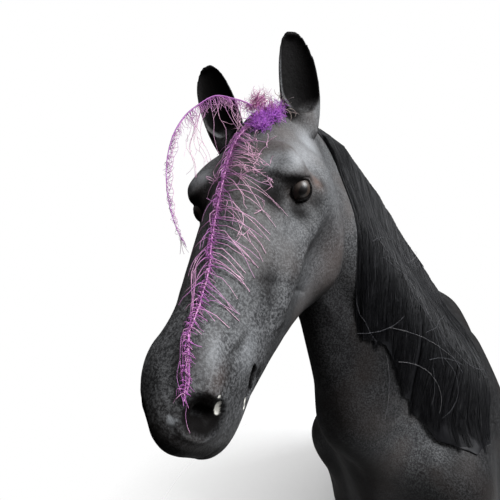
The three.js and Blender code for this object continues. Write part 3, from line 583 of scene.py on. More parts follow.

# Places with painted shade, painted highlights and a warm brown tint: centre, radii and strength.
SHADED = [
    ((56, 258, 32), (36, 32, 34), 1.0),
    ((80, 246, 76), (34, 24, 28), 0.9),
    ((106, 218, 84), (20, 26, 20), 0.7),
    ((114, 184, 76), (10, 14, 14), 0.5),
    ((66, 2, 24), (22, 28, 22), 1.0),
    ((60, 18, 18), (14, 12, 14), 0.95),
    ((62, 392, 66), (22, 34, 26), 0.7),
    ((74, 352, 110), (12, 34, 22), 0.45),
    ((84, 310, 130), (40, 60, 22), 0.35),
    ((30, 470, 190), (50, 160, 34), 0.5),
    ((0, 560, 110), (60, 60, 30), 0.4),
    ((50, 532, 42), (6, 24, 16), 0.55),
]
PAINTED_HIGHLIGHTS = [
    ((60, 204, 2), (26, 24, 14), 0.75),
    ((88, 204, 12), (24, 30, 18), 0.95),
    ((88, 120, 48), (34, 60, 44), 0.7),
    ((104, -10, 42), (10, 44, 34), 0.6),
    ((82, 60, 66), (34, 46, 34), 0.85),
    ((92, 230, 190), (46, 90, 66), 0.26),
    ((60, 300, 200), (40, 70, 50), 0.25),
    ((84, 300, 66), (34, 70, 34), 0.10),
    ((46, 484, 70), (22, 30, 26), 0.40),
    ((42, 520, 20), (18, 40, 16), 0.42),
    ((104, 150, 110), (30, 50, 60), 0.22),
]
WARMED = [
    ((106, 192, 66), (12, 12, 18), 0.55),
    ((92, 190, 200), (40, 90, 60), 0.22),
    ((44, 540, 36), (12, 22, 12), 0.18),
]

# Where the paint is chipped off the left side, and where it is scuffed grey: a line, its width.
CHIPS = [
    ([(43, 555, 55), (40, 561, 66)], 2.7),
    ([(39, 549, 43), (42, 551, 46)], 1.4),
    ([(40, 525, 107), (37, 530, 115)], 2.3),
    ([(31, 489, 146), (25, 487, 153)], 1.3),
]
SCUFFS = [
    ([(10, 583, 23), (12, 584, 28)], 3.2),
    ([(12, 583, 27), (24, 581, 32)], 1.0),
    ([(28, 585, 46), (31, 587, 52)], 3.4),
    ([(35, 577, 66), (38, 572, 66)], 1.8),
    ([(14, 560, 15), (17, 570, 20)], 1.2),
    ([(20, 590, 40), (24, 592, 50)], 1.2),
    ([(47, 540, 60), (47, 543, 64)], 1.0),
]


def strongest(points, patches):
    """The greatest strength that any of some patches has at each point."""
    return np.max([most * around(points, centre, radii) for centre, radii, most in patches], axis=0)


def marked(points, marks):
    """1 within some marks, falling to 0 past their edges."""
    return np.max([ease(1.6 - distance_to_line(points, a) / wide) for a, wide in marks], axis=0)


def sculpt_statue(mesh, lid_thickness):
    """Moves the points of the refined casting into its finer forms, and paints its attributes."""
    co = positions(mesh)
    local = to_head(co)
    sided = folded(local)
    out = directions(mesh)
    rise = np.zeros(len(co))
    for points, strokes in ((sided, HEAD_STROKES), (to_body(co), BODY_STROKES)):
        for line, width, height in strokes:
            rise += height * np.exp(-((distance_to_line(points, line) / width) ** 2))
    nostril = distance_to_line(sided, NOSTRIL)
    seen = np.where(local[:, 0] > 0, 1.0, 0.15)
    rise -= seen * (9 * ease((22 - nostril) / 19) + 8 * ease((10 - nostril) / 8))
    rise += seen * 1.2 * np.exp(-(((nostril - 22) / 4) ** 2))
    rise += 4 * around(local, (-32, 566, 40), (18, 16, 24))
    corner = distance_to_line(sided, MOUTH_CORNER)
    rise -= 20 * ease((11 - corner) / 4)
    chip = marked(local, CHIPS)
    rise -= chip
    co = co + out * (rise * MM)[:, None]

    shade = np.zeros(len(co))
    for mirror in (1, -1):
        local = to_head(co)
        reach, sideways, above, outward = gaze_angles(local, mirror)
        gap = lid_gap(sideways, above)
        lid = EYE_RADIUS + lid_thickness / MM
        lid = lid + 0.9 * np.exp(-((gap / 0.10) ** 2))
        fold = np.where(above > 0, 1.0, 0.7)
        lid = lid - fold * 1.3 * np.exp(-(((gap - 0.34) / 0.10) ** 2))
        sunk = EYE_RADIUS - 3.0
        target = lid + (sunk - lid) * ease(0.5 - gap / 0.07)
        near = ease((27 - reach) / 4.5) * ease((outward + 2) / 5)
        centre = np.array(eye_frame(mirror)[0])
        moved = centre + (local - centre) * (target / np.maximum(reach, 1e-3))[:, None]
        local = local + (moved - local) * near[:, None]
        co = np.array(POLL) + local @ HEAD_ARRAY.T * MM
        # Painted shade in the socket round each eye.
        shade = np.maximum(shade, 0.9 * near * ease(1 - gap / 0.5))
    put_positions(mesh, co)

    local = to_head(co)
    sided = folded(local)
    out = directions(mesh)
    # Painted shade inside the ears, in the SHADED hollows, in the nostrils and mouth corners, and along
    # the fold beside the nose.
    ears = distance_to_line(sided, [EAR_FOOT, EAR_TIP])
    facing = out @ (HEAD_ARRAY @ np.array([0, 1, 0]))
    inner = ease((46 - ears) / 10) * ease((40 - local[:, 2]) / 20) * ease((facing - 0.05) / 0.3)
    shade = np.maximum(shade, inner)
    shade = np.maximum(shade, strongest(sided, SHADED))
    shade = np.maximum(shade, ease((28 - distance_to_line(sided, NOSTRIL)) / 15))
    shade = np.maximum(shade, ease((11.5 - corner) / 2))
    shade = np.maximum(shade, 0.55 * ease((9 - distance_to_line(sided, FOLD)) / 9))
    body = to_body(co)
    # Painted shade down the front of the neck and chest, lifted off the shoulder where the light falls.
    neck = ease((body[:, 1] - 10) / 80) * ease((body[:, 2] - 210) / 170)
    # Painted shade on surfaces that face down or away from SKYWARD, less of it on the jowl.
    upward = out * np.where(out[:, :1] < 0, [-0.7, 1, 1], [1, 1, 1])
    painted_sky_light = ease(upward @ SKYWARD + 0.42)
    jowl = around(sided, (62, 285, 200), (50, 90, 70))
    shade = np.maximum(shade, 0.88 * (1 - painted_sky_light) * (1 - 0.6 * jowl))
    shoulder = around(body, (118, 300, 700), (90, 130, 120))
    shade = np.maximum(shade, 0.72 * neck * (1 - shoulder))
    # Painted highlights on the lit brow, forehead, ear rims, cheeks and nose, joined with real pale
    # scuffs on the muzzle.
    dust = np.maximum(strongest(sided, PAINTED_HIGHLIGHTS), 1.6 * marked(local, SCUFFS))
    put_attribute(mesh, "shade", shade)
    put_attribute(mesh, "dust", dust * (1 - shade))
    put_attribute(mesh, "warm", strongest(sided, WARMED))
    put_attribute(mesh, "chip", ease((chip - 0.35) / 0.3))


def rounded_casting():
    """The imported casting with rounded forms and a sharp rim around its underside."""
    bm = merged_copy("horse_bust")
    crease = bm.edges.layers.float.new("crease_edge")
    for edge in bm.edges:
        if max(v.co.z for v in edge.verts) < 1e-4:
            edge[crease] = 1.0
    return round_off(new_object("horse_statue", write_mesh(bm, bpy.data.meshes.new("horse_statue"))))


def joined_with_lids(piece, sizes):
    """One even skin over the casting and a ball over each eye, smoothed but for ears and lids."""
    bm = bmesh_of(piece.data)
    lid_radius = EYE_RADIUS * MM + sizes.lid_thickness
    for mirror in (1, -1):
        place = Matrix.Translation(on_head(mirror * EYE_CENTRE[0], *EYE_CENTRE[1:]))
        bmesh.ops.create_icosphere(bm, subdivisions=4, radius=lid_radius, matrix=place)
    write_mesh(bm, piece.data)
    grid = piece.modifiers.new("Grid", "REMESH")
    grid.mode = "VOXEL"
    grid.voxel_size = sizes.sculpt_edge * 1
    mesh = apply_modifiers(piece)

    co = positions(mesh)
    sided = folded(to_head(co))
    keep = ease((52 - distance_to_line(sided, [EAR_FOOT, EAR_TIP])) / 16)
    keep = np.maximum(keep, 0.8 * ease((30 - np.linalg.norm(sided - EYE_CENTRE, axis=1)) / 10))
    resting = co[:, 2] < 0.004
    smooth = relax(co, edge_list(mesh), 0.75 * (1 - 0.93 * keep), 24)
    smooth[resting, 2] = co[resting, 2]
    put_positions(mesh, smooth)


def thin_out(piece, most):
    """Reduces the statue to so many triangles, its neck and chest more than its head."""
    faces = sum(len(p.vertices) - 2 for p in piece.data.polygons)
    if faces <= most:
        return
    co = positions(piece.data)
    fine = (to_head(co)[:, 1] > -90) & (to_body(co)[:, 1] < 60)
    group = piece.vertex_groups.new(name="reduce")
    group.add(np.flatnonzero(~fine).tolist(), 1.0, "REPLACE")
    group.add(np.flatnonzero(fine).tolist(), 0.25, "REPLACE")
    thin = piece.modifiers.new("Thin", "DECIMATE")
    thin.ratio = most / faces
    thin.vertex_group = "reduce"
    thin.vertex_group_factor = 1.0
    thin.use_collapse_triangulate = True
    apply_modifiers(piece)


class HORSE_OT_statue(bpy.types.Operator):
    """Sculpts and paints the cast head, neck and chest"""

    bl_idname = "horse.statue"
    bl_label = "Cast Statue"

    def execute(self, context):
        sizes = context.scene.horse_sizes
        piece = rounded_casting()
        joined_with_lids(piece, sizes)
        bm = bmesh_of(piece.data)
        eyes = [on_head(m * EYE_CENTRE[0], *EYE_CENTRE[1:]) for m in (1, -1)]
        refine_near(bm, eyes + [on_head(*p) for p in FINER_PLACES], FINER_REACH)
        refine_near(bm, eyes, FINEST_REACH)
        sculpt_statue(write_mesh(bm, piece.data), sizes.lid_thickness)
        thin_out(piece, sizes.statue_triangles)
        dress(piece, coat_material(context.scene.horse_colours))
        finish_piece(piece, "coat", "horse_bust")
        return {"FINISHED"}


# The glass eyes


class HORSE_OT_eyes(bpy.types.Operator):
    """Sets a glass eye with a domed cornea in each socket"""

    bl_idname = "horse.eyes"
    bl_label = "Glass Eyes"

    def execute(self, context):
        material = eye_material(context.scene.horse_colours)
        for mirror, node in ((1, "left_eye"), (-1, "right_eye")):
            centre, axis, forward, upward = eye_frame(mirror)
            basis = Matrix((forward, upward, axis)).transposed()
            turn = (HEAD @ basis).to_4x4()
            turn.translation = on_head(*centre)
            bm = bmesh.new()
            bmesh.ops.create_uvsphere(bm, u_segments=48, v_segments=32, radius=EYE_RADIUS * MM)
            for v in bm.verts:
                off = math.atan2(math.hypot(v.co.x, v.co.y), v.co.z)
                v.co *= 1 + CORNEA_RISE * math.exp(-((off / CORNEA_WIDTH) ** 2))
            mesh = write_mesh(bm, bpy.data.meshes.new("glass_" + node))
            co = positions(mesh) / (EYE_RADIUS * MM)
            behind = np.where(co[:, 2] < 0, 1.0, 0.0)
            gaze = np.maximum(np.hypot(co[:, 0] / PUPIL_STRETCH, co[:, 1]), behind)
            put_attribute(mesh, "gaze", gaze)
            mesh.transform(turn)
            if turn.determinant() < 0:
                mesh.flip_normals()
            finish_piece(dress(new_object("glass_" + node, mesh), material), "eye", node)
        return {"FINISHED"}


# The mane

# Crest of the neck under the mane: share of the way, back from the poll and below it.
CREST = [(0, 132, 14), (0.18, 200, 32), (0.45, 326, 126), (0.72, 466, 266), (1, 604, 396)]
# The mane's lower edge: share of the way, back and below.
HEM = [
    (0, 174, 436), (0.1, 175, 458), (0.25, 190, 482), (0.4, 236, 504),
    (0.55, 262, 606), (0.7, 292, 668), (0.85, 344, 716), (1, 420, 742),
]
LOCK_COUNT = 46  # hanging locks that the strands gather in
STRAY_COUNT = 20  # pale hairs that lie across them
UNDER_DEPTH = 0.003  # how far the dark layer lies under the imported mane


def read_row(rows, at):
    shares = [r[0] for r in rows]
    return [float(np.interp(at, shares, [r[k] for r in rows])) for k in (1, 2)]


def lock_of(share):
    """The lock that a strand hangs in: its middle, and how much longer it is than the hem."""
    index = min(LOCK_COUNT - 1, int(share * LOCK_COUNT))
    dice = random.Random(700 + index)
    return (index + 0.5) / LOCK_COUNT, 1 + dice.uniform(-0.09, 0.05), dice.uniform(-7, 7)


def from_left(tree, y, z):
    """The first point met on the way in from the horse's left, or nothing."""
    return tree.ray_cast(Vector((0.6, y, z)), Vector((-1, 0, 0)))[0]


def strand_path(tree, share, rise, steps, dice):
    """A strand from its root on the crest to the hem, laid on what carries it."""
    middle, length, drift = lock_of(share)
    length += dice.uniform(-0.13, 0.0) * dice.random()
    end = middle + (share - middle) * 0.35
    cb, cd = read_row(CREST, share)
    eb, ed = read_row(HEM, end)
    ed = cd + (ed - cd) * length
    eb += drift
    rest = 1 - share
    p1 = (cb + 110 * rest * rest + 2 * share, cd + 78 * rest * rest + 60 * share)
    p2 = (eb - 24 * rest + 30 * share, ed - (190 - 70 * share))
    phase = dice.uniform(0, 6.3)
    wave = dice.uniform(0, 1.6)
    swing = dice.gauss(0, 3)
    points = []
    last = None
    for i in range(steps):
        t = i / (steps - 1)
        w = ((1 - t) ** 3, 3 * t * (1 - t) ** 2, 3 * t * t * (1 - t), t**3)
        back = w[0] * cb + w[1] * p1[0] + w[2] * p2[0] + w[3] * eb
        below = w[0] * cd + w[1] * p1[1] + w[2] * p2[1] + w[3] * ed
        back += wave * math.sin(phase + 5 * t) + swing * t * t
        y = POLL.y + back * MM
        z = POLL.z - below * MM
        if i == 0:
            x = dice.uniform(-0.014, 0.004)
            hit = tree.ray_cast(Vector((x, y, POLL.z + 0.2)), Vector((0, 0, -1)))[0]
            points.append(Vector((x, y, (hit.z if hit else z) + 0.001)))
            continue
        hit = from_left(tree, y, z)
        x = hit.x + rise * MM if hit is not None else None
        if x is None or x < -0.05:
            x = last if last is not None else 0.01
        if last is not None and t > 0.3:
            x = max(x, last - 0.012)
        last = x
        points.append(Vector((x, y, z)))
    return points


def mane_strands(tree, count, radius, rises, seed, steps):
    dice = random.Random(seed)
    strands = []
    for i in range(count):
        share = min(1.0, max(0.0, (i + dice.random()) / count))
        points = strand_path(tree, share, dice.uniform(*rises), steps, dice)
        thick = radius * dice.uniform(0.7, 1.2)
        radii = [thick * (1 - 0.85 * max(0.0, k / (steps - 1) - 0.6) / 0.4) for k in range(steps)]
        strands.append((points, radii))
    return strands


def stray_hairs(tree, count, radius, dice):
    """Loose pale hairs that lie across the mane in long bows."""
    strands = []
    for _ in range(count):
        back = dice.uniform(150, 430)
        below = dice.uniform(200, 560)
        heading = dice.choice((dice.uniform(-0.3, 0.6), dice.uniform(0.9, 1.5)))
        curl = dice.uniform(-0.11, 0.11)
        points = []
        for _ in range(dice.randint(10, 20)):
            y, z = POLL.y + back * MM, POLL.z - below * MM
            hit = from_left(tree, y, z)
            if hit is None:
                break
            points.append(Vector((hit.x + 0.005, y, z)))
            back += 9 * math.cos(heading)
            below += 9 * math.sin(heading)
            heading += curl + dice.uniform(-0.04, 0.04)
        if len(points) > 5:
            strands.append((points, [radius] * len(points)))
    return strands


class HORSE_OT_mane(bpy.types.Operator):
    """Combs the mane: a dark under layer, thick locks, fine hairs and a few pale strays"""

    bl_idname = "horse.mane"
    bl_label = "Mane"

    def execute(self, context):
        sizes = context.scene.horse_sizes
        colours = context.scene.horse_colours
        hair = hair_material("mane_hair", colours.hair, (0.045, 0.045, 0.048), 0.48)
        stray = hair_material("stray_hair", (0.10, 0.10, 0.11), (0.35, 0.34, 0.34), 0.5)
        carrier, statue = merged_copy("mane"), merged_copy("horse_bust")
        tree = tree_of(carrier, statue)
        share = 1

        for v in carrier.verts:
            v.co -= v.normal * UNDER_DEPTH
        statue.free()
        under = new_object("mane_under", write_mesh(carrier, bpy.data.meshes.new("mane_under")))
        finish_piece(dress(round_off(under), hair), "hair", "mane")

        for name, count, radius, rises, seed in (
            ("mane_locks", sizes.locks, sizes.lock_radius, (-4, 1.5), 11),
            ("mane_hairs", sizes.hairs, sizes.hair_radius, (-1, 3.5), 12),
        ):
            strands = mane_strands(tree, max(20, count // share), radius, rises, seed, 11)
            finish_piece(strands_piece(name, strands, hair), "hair", "mane")
        strands = stray_hairs(tree, STRAY_COUNT, sizes.hair_radius * 0.55, random.Random(13))
        finish_piece(strands_piece("mane_strays", strands, stray), "hair", "mane")
        return {"FINISHED"}


# The tuft and the feathers


def wander(start, heading, step, steps, curl, dice):
    """A fibre that starts along a heading and curls as it goes."""
    points = [start.copy()]
    heading = heading.normalized()
    turn = Vector([dice.gauss(0, 1) for _ in range(3)]).normalized()
    for _ in range(steps):
        turn = (turn + Vector([dice.gauss(0, 0.5) for _ in range(3)])).normalized()
        heading = (heading + turn * curl).normalized()
        points.append(points[-1] + heading * step)
    return points


# Parts of the tuft: centre, radii, and 0 where it is violet or 1 where it is pink.
TUFT = [
    ((10, 8, -20), (16, 14, 11), 1),
    ((2, 26, -18), (14, 14, 9), 1),
    ((26, 36, -8), (20, 18, 8), 1),
    ((38, 34, -2), (16, 14, 8), 0),
    ((30, 62, -6), (20, 16, 8), 0),
    ((16, 74, -9), (16, 18, 7), 0),
    ((40, 58, 1), (12, 12, 7), 0),
    ((26, 96, -6), (9, 14, 4), 0),
]
CURLS = [(48, 14, 0), (50, 22, 8), (44, 30, 2)]  # where pale curls start


class HORSE_OT_tuft(bpy.types.Operator):
    """Fluffs up the violet tuft between the ears"""

    bl_idname = "horse.tuft"
    bl_label = "Tuft"

    def execute(self, context):
        dice = random.Random(21)
        colours = context.scene.horse_colours
        count = context.scene.horse_sizes.tuft_fibres // 1
        strands = [[], [], []]
        for _ in range(count):
            centre, radii, tint = dice.choice(TUFT)
            way = Vector([dice.gauss(0, 1) for _ in range(3)]).normalized()
            inner = dice.uniform(0.1, 0.8)
            place = [c + r * w * inner for c, r, w in zip(centre, radii, way)]
            way = Vector((way.x, way.y, 0.45 * way.z - 0.15))
            curl = dice.uniform(0.3, 0.9)
            points = wander(on_head(*place), HEAD @ way, 0.0026, 9, curl, dice)
            radius = dice.uniform(0.0003, 0.0006)
            strands[tint].append((points, [radius * (1 - 0.07 * k) for k in range(10)]))
        for _ in range(24):
            place = on_head(*dice.choice(CURLS))
            way = HEAD @ Vector((dice.uniform(0.2, 1), dice.gauss(0, 0.5), dice.uniform(-1, 0)))
            points = wander(place, way, 0.0035, 10, dice.uniform(0.5, 0.9), dice)
            strands[2].append((points, [FINE_BARB] * 11))
        for name, group, deep, pale in (
            ("violet_fluff", strands[0], colours.fluff, (0.60, 0.22, 0.68)),
            ("pink_fluff", strands[1], (0.34, 0.08, 0.26), (0.66, 0.36, 0.48)),
            ("pale_curls", strands[2], (0.10, 0.08, 0.08), (0.42, 0.34, 0.30)),
        ):
            piece = strands_piece(name, group, fluff_material(name, deep, pale))
            finish_piece(piece, "fluff", "plume_tuft")
        return {"FINISHED"}


# The face feather's shaft, to the side and along the face.
FACE_SHAFT = [
    (14, 36), (-2, 84), (-12, 131), (-12, 182), (-8, 233), (-4, 300),
    (4, 366), (15, 422), (17, 476), (18, 506), (23, 530), (24, 564),
]
# How far to each side of the face a barb may lie, at rows along the face.
FACE_ROWS = [30, 90, 150, 215, 280, 350, 430, 500, 580]
FACE_REACH = [52, 70, 80, 80, 70, 60, 48, 38, 30]
# Barbs of the face feather, from one place along it to another: the gap between them and
# their least and greatest reach, on the horse's left of the shaft and then on its right.
FACE_BARBS = [
    (40, 104, 5, 10, 26, 6, 8, 20),
    (104, 226, 3.6, 36, 80, 4, 12, 38),
    (226, 380, 6.8, 50, 92, 12, 22, 52),
    (380, 476, 7.5, 40, 92, 17, 20, 46),
    (476, 562, 16, 10, 34, 12, 8, 20),
]
# Barbs that run on beside the shaft: points to the side and along the face.
FACE_RUNNERS = [
    [(5, 368), (-9, 401), (-3, 431), (10, 470), (18, 506)],
    [(8, 382), (-4, 408), (3, 440), (13, 480), (18, 504)],
    [(12, 402), (3, 430), (8, 466), (17, 500)],
    [(18, 496), (13, 512), (15, 533), (19, 552), (24, 566)],
    [(18, 498), (15, 516), (19, 538), (21, 556), (25, 570)],
    [(18, 502), (23, 520), (27, 540), (27, 554), (24, 568)],
    [(19, 506), (22, 522), (25, 546), (24, 570)],
]
ARCH_SPAN = Vector((0.64, 0.77, 0))  # the way the arch spans
ARCH_SHAFT = [
    (4, 26, -14), (-8, 40, -36), (-20, 53, -52), (-41, 72, -72),
    (-64, 107, -77), (-77, 140, -77), (-88, 180, -68), (-93, 222, -50),
    (-88, 264, -31), (-80, 296, -13), (-66, 328, 5), (-50, 352, 19),
]
# Long barbs that hang in the arch: where each leaves the shaft, how many, and its points,
# in millimetres across the span and downwards.
ARCH_HANGING = [
    (0.40, 3, [(-2, 10), (0, 32), (-8, 61), (2, 86), (0, 122)]),
    (0.34, 3, [(-2, 12), (-6, 34), (-10, 68), (1, 102), (-2, 128)]),
    (0.28, 2, [(0, 14), (2, 42), (8, 72), (3, 108)]),
    (0.235, 2, [(3, 12), (11, 36), (29, 72), (46, 88)]),
    (0.20, 2, [(2, 14), (6, 40), (20, 70), (38, 92)]),
    (0.16, 2, [(0, 16), (3, 36), (2, 58)]),
    (0.12, 1, [(1, 12), (-2, 30), (4, 52)]),
]


def smooth_line(points, count):
    """Evenly many points on a smooth curve through some points."""
    points = [Vector(p) for p in points]
    out = []
    last = len(points) - 1
    for i in range(count):
        at = i / (count - 1) * last
        k = min(int(at), last - 1)
        t = at - k
        p0, p1, p2, p3 = (points[max(0, min(last, k + j))] for j in (-1, 0, 1, 2))
        a = 2 * p1
        b = p2 - p0
        c = 2 * p0 - 5 * p1 + 4 * p2 - p3
        d = -p0 + 3 * p1 - 3 * p2 + p3
        out.append(0.5 * (a + b * t + c * t * t + d * t**3))
    return out


def reach_from(piece, shaft):
    """Paints how far each point of a feather lies from its shaft."""
    gap = distance_to_line(positions(piece.data), shaft)
    put_attribute(piece.data, "reach", np.clip(gap / PALE_REACH, 0, 1))


class HORSE_OT_face_feather(bpy.types.Operator):
    """Lays the stripped feather down the face"""

    bl_idname = "horse.face_feather"
    bl_label = "Face Feather"

    def execute(self, context):
        dice = random.Random(31)
        sizes = context.scene.horse_sizes
        statue = merged_copy("horse_bust")
        tree = tree_of(statue)
        statue.free()
        downward = HEAD @ Vector((0, 0, 1))

        def lay(side, along, lift):
            wide = np.interp(along, FACE_ROWS, FACE_REACH)
            side = max(-wide, min(wide, side))
            start = on_head(side, along, -200)
            hit = tree.ray_cast(start, downward)[0]
            base = hit if hit is not None else on_head(side, along, 0)
            return base - downward * lift * MM

        line = smooth_line([(s, a, 0) for s, a in FACE_SHAFT], 110)
        shaft = [lay(p.x, p.y, FACE_LIFT) for p in line]
        strands = [(shaft, [FACE_SHAFT_RADIUS * (1 - 0.6 * i / 109) for i in range(110)])]

        def barb(along, turn, angle, reach, thick, wobble):
            """Walks a barb over the face from the shaft, and returns where it ends."""
            i = min(range(1, 109), key=lambda k: abs(line[k].y - along))
            ahead = (line[i + 1] - line[i - 1]).normalized()
            across = Vector((ahead.y, -ahead.x, 0)) * turn
            steps = max(4, int(reach / 7))
            kink = dice.randint(2, steps) if dice.random() < 0.6 else -1
            place = line[i].copy()
            rise = dice.uniform(2, 7)
            points = [lay(place.x, place.y, FACE_LIFT)]
            for k in range(1, steps + 1):
                angle += dice.gauss(-0.05, wobble)
                if k == kink:
                    angle += dice.choice((-1, 1)) * dice.uniform(0.3, 0.8)
                way = ahead * math.cos(angle) + across * math.sin(angle)
                place += way * reach / steps
                if abs(place.x) > np.interp(place.y, FACE_ROWS, FACE_REACH):
                    break
                u = k / steps
                lift = FACE_LIFT + rise * math.sin(math.pi * u) - 3 * u
                points.append(lay(place.x, place.y, lift))
            strands.append((points, tapered(thick, 0.55, len(points))))
            return points[-1]

        for first, last, gap_left, low, high, gap_right, small, tall in FACE_BARBS:
            for turn, gap, least, most in ((1, gap_left, low, high), (-1, gap_right, small, tall)):
                along = first + dice.random() * gap
                while along < last:
                    angle = dice.uniform(0.95, 1.4) if turn > 0 else dice.uniform(0.5, 1.0)
                    reach = dice.uniform(least, most)
                    thick = sizes.barb_radius * dice.uniform(0.75, 1.2)
                    end = barb(along, turn, angle, reach, thick, 0.11)
                    if reach > 34 and dice.random() < 0.3 and along < 330:
                        for _ in range(dice.randint(3, 6)):
                            way = HEAD @ Vector((dice.gauss(0, 1), dice.gauss(0.4, 1), -0.1))
                            curl = wander(end, way, 0.003, 6, dice.uniform(0.3, 0.8), dice)
                            strands.append((curl, [FINE_BARB] * 7))
                    along += gap * dice.uniform(0.4, 1.6) * 1
        for _ in range(620):
            along = dice.uniform(42, 560)
            turn = dice.choice((-1, 1))
            barb(along, turn, dice.uniform(0.4, 1.2), dice.uniform(4, 10), FINE_BARB, 0.2)
        for run in FACE_RUNNERS:
            for _ in range(2):
                bent = [(s + dice.gauss(0, 0.9), a + dice.gauss(0, 2), 0) for s, a in run]
                points = [lay(p.x, p.y, 4.0) for p in smooth_line(bent, 16)]
                strands.append((points, [sizes.barb_radius * 0.6] * 16))
        thread = [lay(24 + 0.5 * math.sin(k), 564 + 2.9 * k, 2) for k in range(9)]
        strands.append((thread, [0.00022] * 9))
        piece = strands_piece("feather_on_face", strands, feather_material(context.scene.horse_colours))
        reach_from(piece, shaft)
        finish_piece(piece, "feather", "face_feather")
        return {"FINISHED"}


class HORSE_OT_arched_feather(bpy.types.Operator):
    """Arches the second stripped feather over beside the face"""

    bl_idname = "horse.arched_feather"
    bl_label = "Arched Feather"

    def execute(self, context):
        dice = random.Random(41)
        sizes = context.scene.horse_sizes
        line = smooth_line(ARCH_SHAFT, 120)
        shaft = [on_head(*p) for p in line]
        strands = [(shaft, [ARCH_SHAFT_RADIUS * (1 - 0.65 * i / 119) for i in range(120)])]
        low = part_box("arched_feather")[0].z - 0.008

        def hang(start, offsets, thick, count=12):
            """A barb through points given across the span and downwards from its start."""
            course = smooth_line([(0, 0, 0)] + [(a, d, dice.gauss(0, 2)) for a, d in offsets], count)
            points = []
            for p in course:
                point = start + ARCH_SPAN * p.x * MM + ARCH_SPAN.cross(Vector((0, 0, 1))) * p.z * MM
                point.z = max(point.z - p.y * MM, low)
                points.append(point)
            strands.append((points, tapered(thick, 0.5, count)))
            return points

        radius = sizes.barb_radius
        for share, count, offsets in ARCH_HANGING:
            at = int(share * 119)
            for _ in range(count):
                root = shaft[at + dice.randint(-2, 2)]
                bent = [(a + dice.gauss(0, 3), d * dice.uniform(0.85, 1.05)) for a, d in offsets]
                course = hang(root, bent, radius * 0.8)
                for _ in range(3):
                    side = dice.randint(-9, 9)
                    first = shaft[max(1, min(118, at + side))]
                    join = course[dice.randint(3, 6)]
                    mid = (first + join) / 2 + ARCH_SPAN * dice.gauss(0, 0.003)
                    mid.z -= dice.uniform(0.0, 0.006)
                    strands.append(([first, mid, join], [NET_BARB] * 3))
                for _ in range(2):
                    curl = wander(
                        course[dice.randint(6, 11)],
                        Vector((dice.gauss(0, 1), dice.gauss(0, 1), -0.8)),
                        0.0035, 6, dice.uniform(0.2, 0.6), dice,
                    )
                    strands.append((curl, [NET_BARB] * 7))
        # Short barbs inside the arch, and a net of them down its outer side.
        for _ in range(230):
            share = dice.uniform(0.06, 0.97)
            root = shaft[int(share * 119)]
            fine = 1 if share < 0.5 else 0.5
            across = dice.uniform(0, 12) * fine
            down = dice.uniform(5, 26) * fine
            swing = dice.gauss(0, 3)
            hang(root, [(0.6 * across + swing, 0.5 * down), (across, down)], radius * 0.5, 5)
        for reach, first, last in ((9, 52, 112), (5, 60, 100), (13, 58, 84)):
            points = []
            for i in range(first, last):
                swell = math.sin(math.pi * (i - first) / (last - 1 - first))
                sway = reach * swell + 1.5 * math.sin(0.9 * i + reach)
                points.append(shaft[i] + ARCH_SPAN * sway * MM)
            strands.append((points, [radius * 0.6] * len(points)))
            for k in range(2, len(points) - 4, 2):
                near = shaft[first + k + dice.randint(0, 3)]
                strands.append(([points[k], (points[k] + near) / 2, near], [NET_BARB] * 3))
        for across, down in ((10, 22), (4, 30), (-3, 26)):
            hang(shaft[112], [(across * 0.3, down * 0.5), (across, down)], radius * 0.7, 6)
        piece = strands_piece("feather_arched", strands, feather_material(context.scene.horse_colours))
        reach_from(piece, shaft)
        finish_piece(piece, "feather", "arched_feather")
        return {"FINISHED"}


# Floor, lights and camera


def area_light(name, place, target, size, power, tint=(1, 1, 1)):
    light = bpy.data.lights.new(name, "AREA")
    light.shape = "DISK"
    light.size = size
    light.energy = power
    light.color = tint
    lamp = new_object(name, light)
    lamp.location = place
    lamp.rotation_euler = (Vector(target) - Vector(place)).to_track_quat("-Z", "Y").to_euler()


def sky_light(tree):
    """A white backdrop that lights the statue softly from above and only weakly from below."""
    back = tree.nodes["Background"]
    back.inputs["Color"].default_value = (1.0, 1.0, 1.0, 1.0)
    where = tree.nodes.new("ShaderNodeTexCoord").outputs["Generated"]
    height = tree.nodes.new("ShaderNodeSeparateXYZ")
    tree.links.new(where, height.inputs[0])
    soft = tree.nodes.new("ShaderNodeMapRange")
    soft.interpolation_type = "SMOOTHSTEP"
    ends = {"From Min": -0.1, "From Max": 0.9, "To Min": 0.0, "To Max": 0.34}
    for key, number in ends.items():
        soft.inputs[key].default_value = number
    tree.links.new(height.outputs["Z"], soft.inputs["Value"])
    ray = tree.nodes.new("ShaderNodeLightPath").outputs["Is Camera Ray"]
    pick = tree.nodes.new("ShaderNodeMix")
    tree.links.new(ray, pick.inputs[0])
    tree.links.new(soft.outputs[0], pick.inputs[2])
    pick.inputs[3].default_value = 1.0
    tree.links.new(pick.outputs[0], back.inputs["Strength"])


def photo_camera():
    camera = bpy.data.cameras.new("photo_camera")
    camera.sensor_width = 36
    camera.lens = CAMERA_LENS
    camera.clip_start = 0.01
    seat = new_object("photo_camera", camera)
    ahead = Vector((-math.sin(CAMERA_TURN), math.cos(CAMERA_TURN), 0))
    level = Vector((math.cos(CAMERA_TURN), math.sin(CAMERA_TURN), 0))
    roll = Matrix.Rotation(CAMERA_ROLL, 3, ahead)
    up = roll @ Vector((0, 0, 1))
    place = Matrix((roll @ level, up, -ahead)).transposed().to_4x4()
    place.translation = CAMERA_PLACE
    seat.matrix_world = place
    return seat


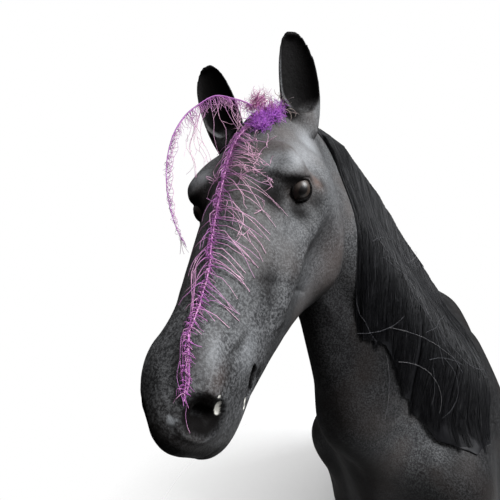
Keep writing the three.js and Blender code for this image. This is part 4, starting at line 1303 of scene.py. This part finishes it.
class HORSE_OT_stage(bpy.types.Operator):
    """Sets up the plain floor, the soft lights and the camera"""

    bl_idname = "horse.stage"
    bl_label = "Stage"

    def execute(self, context):
        scene = context.scene
        scene.camera = photo_camera()
        bm = bmesh.new()
        bmesh.ops.create_circle(bm, cap_ends=True, segments=96, radius=4.0)
        mesh = write_mesh(bm, bpy.data.meshes.new("studio_floor"))
        mesh.materials.append(floor_material(scene.horse_colours))
        new_object("studio_floor", mesh)

        world = bpy.data.worlds.new("studio_world")
        world.use_nodes = True
        sky_light(world.node_tree)
        scene.world = world
        scene.view_settings.view_transform = "Standard"
        area_light("soft_key", (2.3, 0.3, 2.6), LIGHT_AIM, 1.7, 240, (0.96, 0.98, 1.0))
        area_light("soft_front", (1.6, -2.0, 1.9), LIGHT_AIM, 1.4, 7)
        area_light("soft_back", (-1.9, 1.7, 1.7), (0, -0.2, 0.5), 1.6, 60)
        return {"FINISHED"}


# The add-on


OPERATORS = (
    HORSE_OT_stage,
    HORSE_OT_statue,
    HORSE_OT_eyes,
    HORSE_OT_mane,
    HORSE_OT_tuft,
    HORSE_OT_face_feather,
    HORSE_OT_arched_feather,
)


class HORSE_PT_panel(bpy.types.Panel):
    """Lists the statue's pieces"""

    bl_idname = "HORSE_PT_panel"
    bl_label = "Horse Statue"
    bl_space_type = "VIEW_3D"
    bl_region_type = "UI"
    bl_category = "Horse Statue"

    def draw(self, context):
        layout = self.layout
        for operator in OPERATORS:
            layout.operator(operator.bl_idname)
        for group in (context.scene.horse_sizes, context.scene.horse_colours):
            for key in group.__annotations__:
                layout.prop(group, key)


CLASSES = (HorseSizes, HorseColours, *OPERATORS, HORSE_PT_panel)


def register():
    for cls in CLASSES:
        bpy.utils.register_class(cls)
    bpy.types.Scene.horse_sizes = bpy.props.PointerProperty(type=HorseSizes)
    bpy.types.Scene.horse_colours = bpy.props.PointerProperty(type=HorseColours)


def unregister():
    del bpy.types.Scene.horse_colours
    del bpy.types.Scene.horse_sizes
    for cls in reversed(CLASSES):
        bpy.utils.unregister_class(cls)


def main():
    register()
    bpy.ops.horse.stage()
    bpy.ops.horse.statue()
    bpy.ops.horse.eyes()
    bpy.ops.horse.mane()
    bpy.ops.horse.tuft()
    bpy.ops.horse.face_feather()
    bpy.ops.horse.arched_feather()


if __name__ == "__main__":
    main()
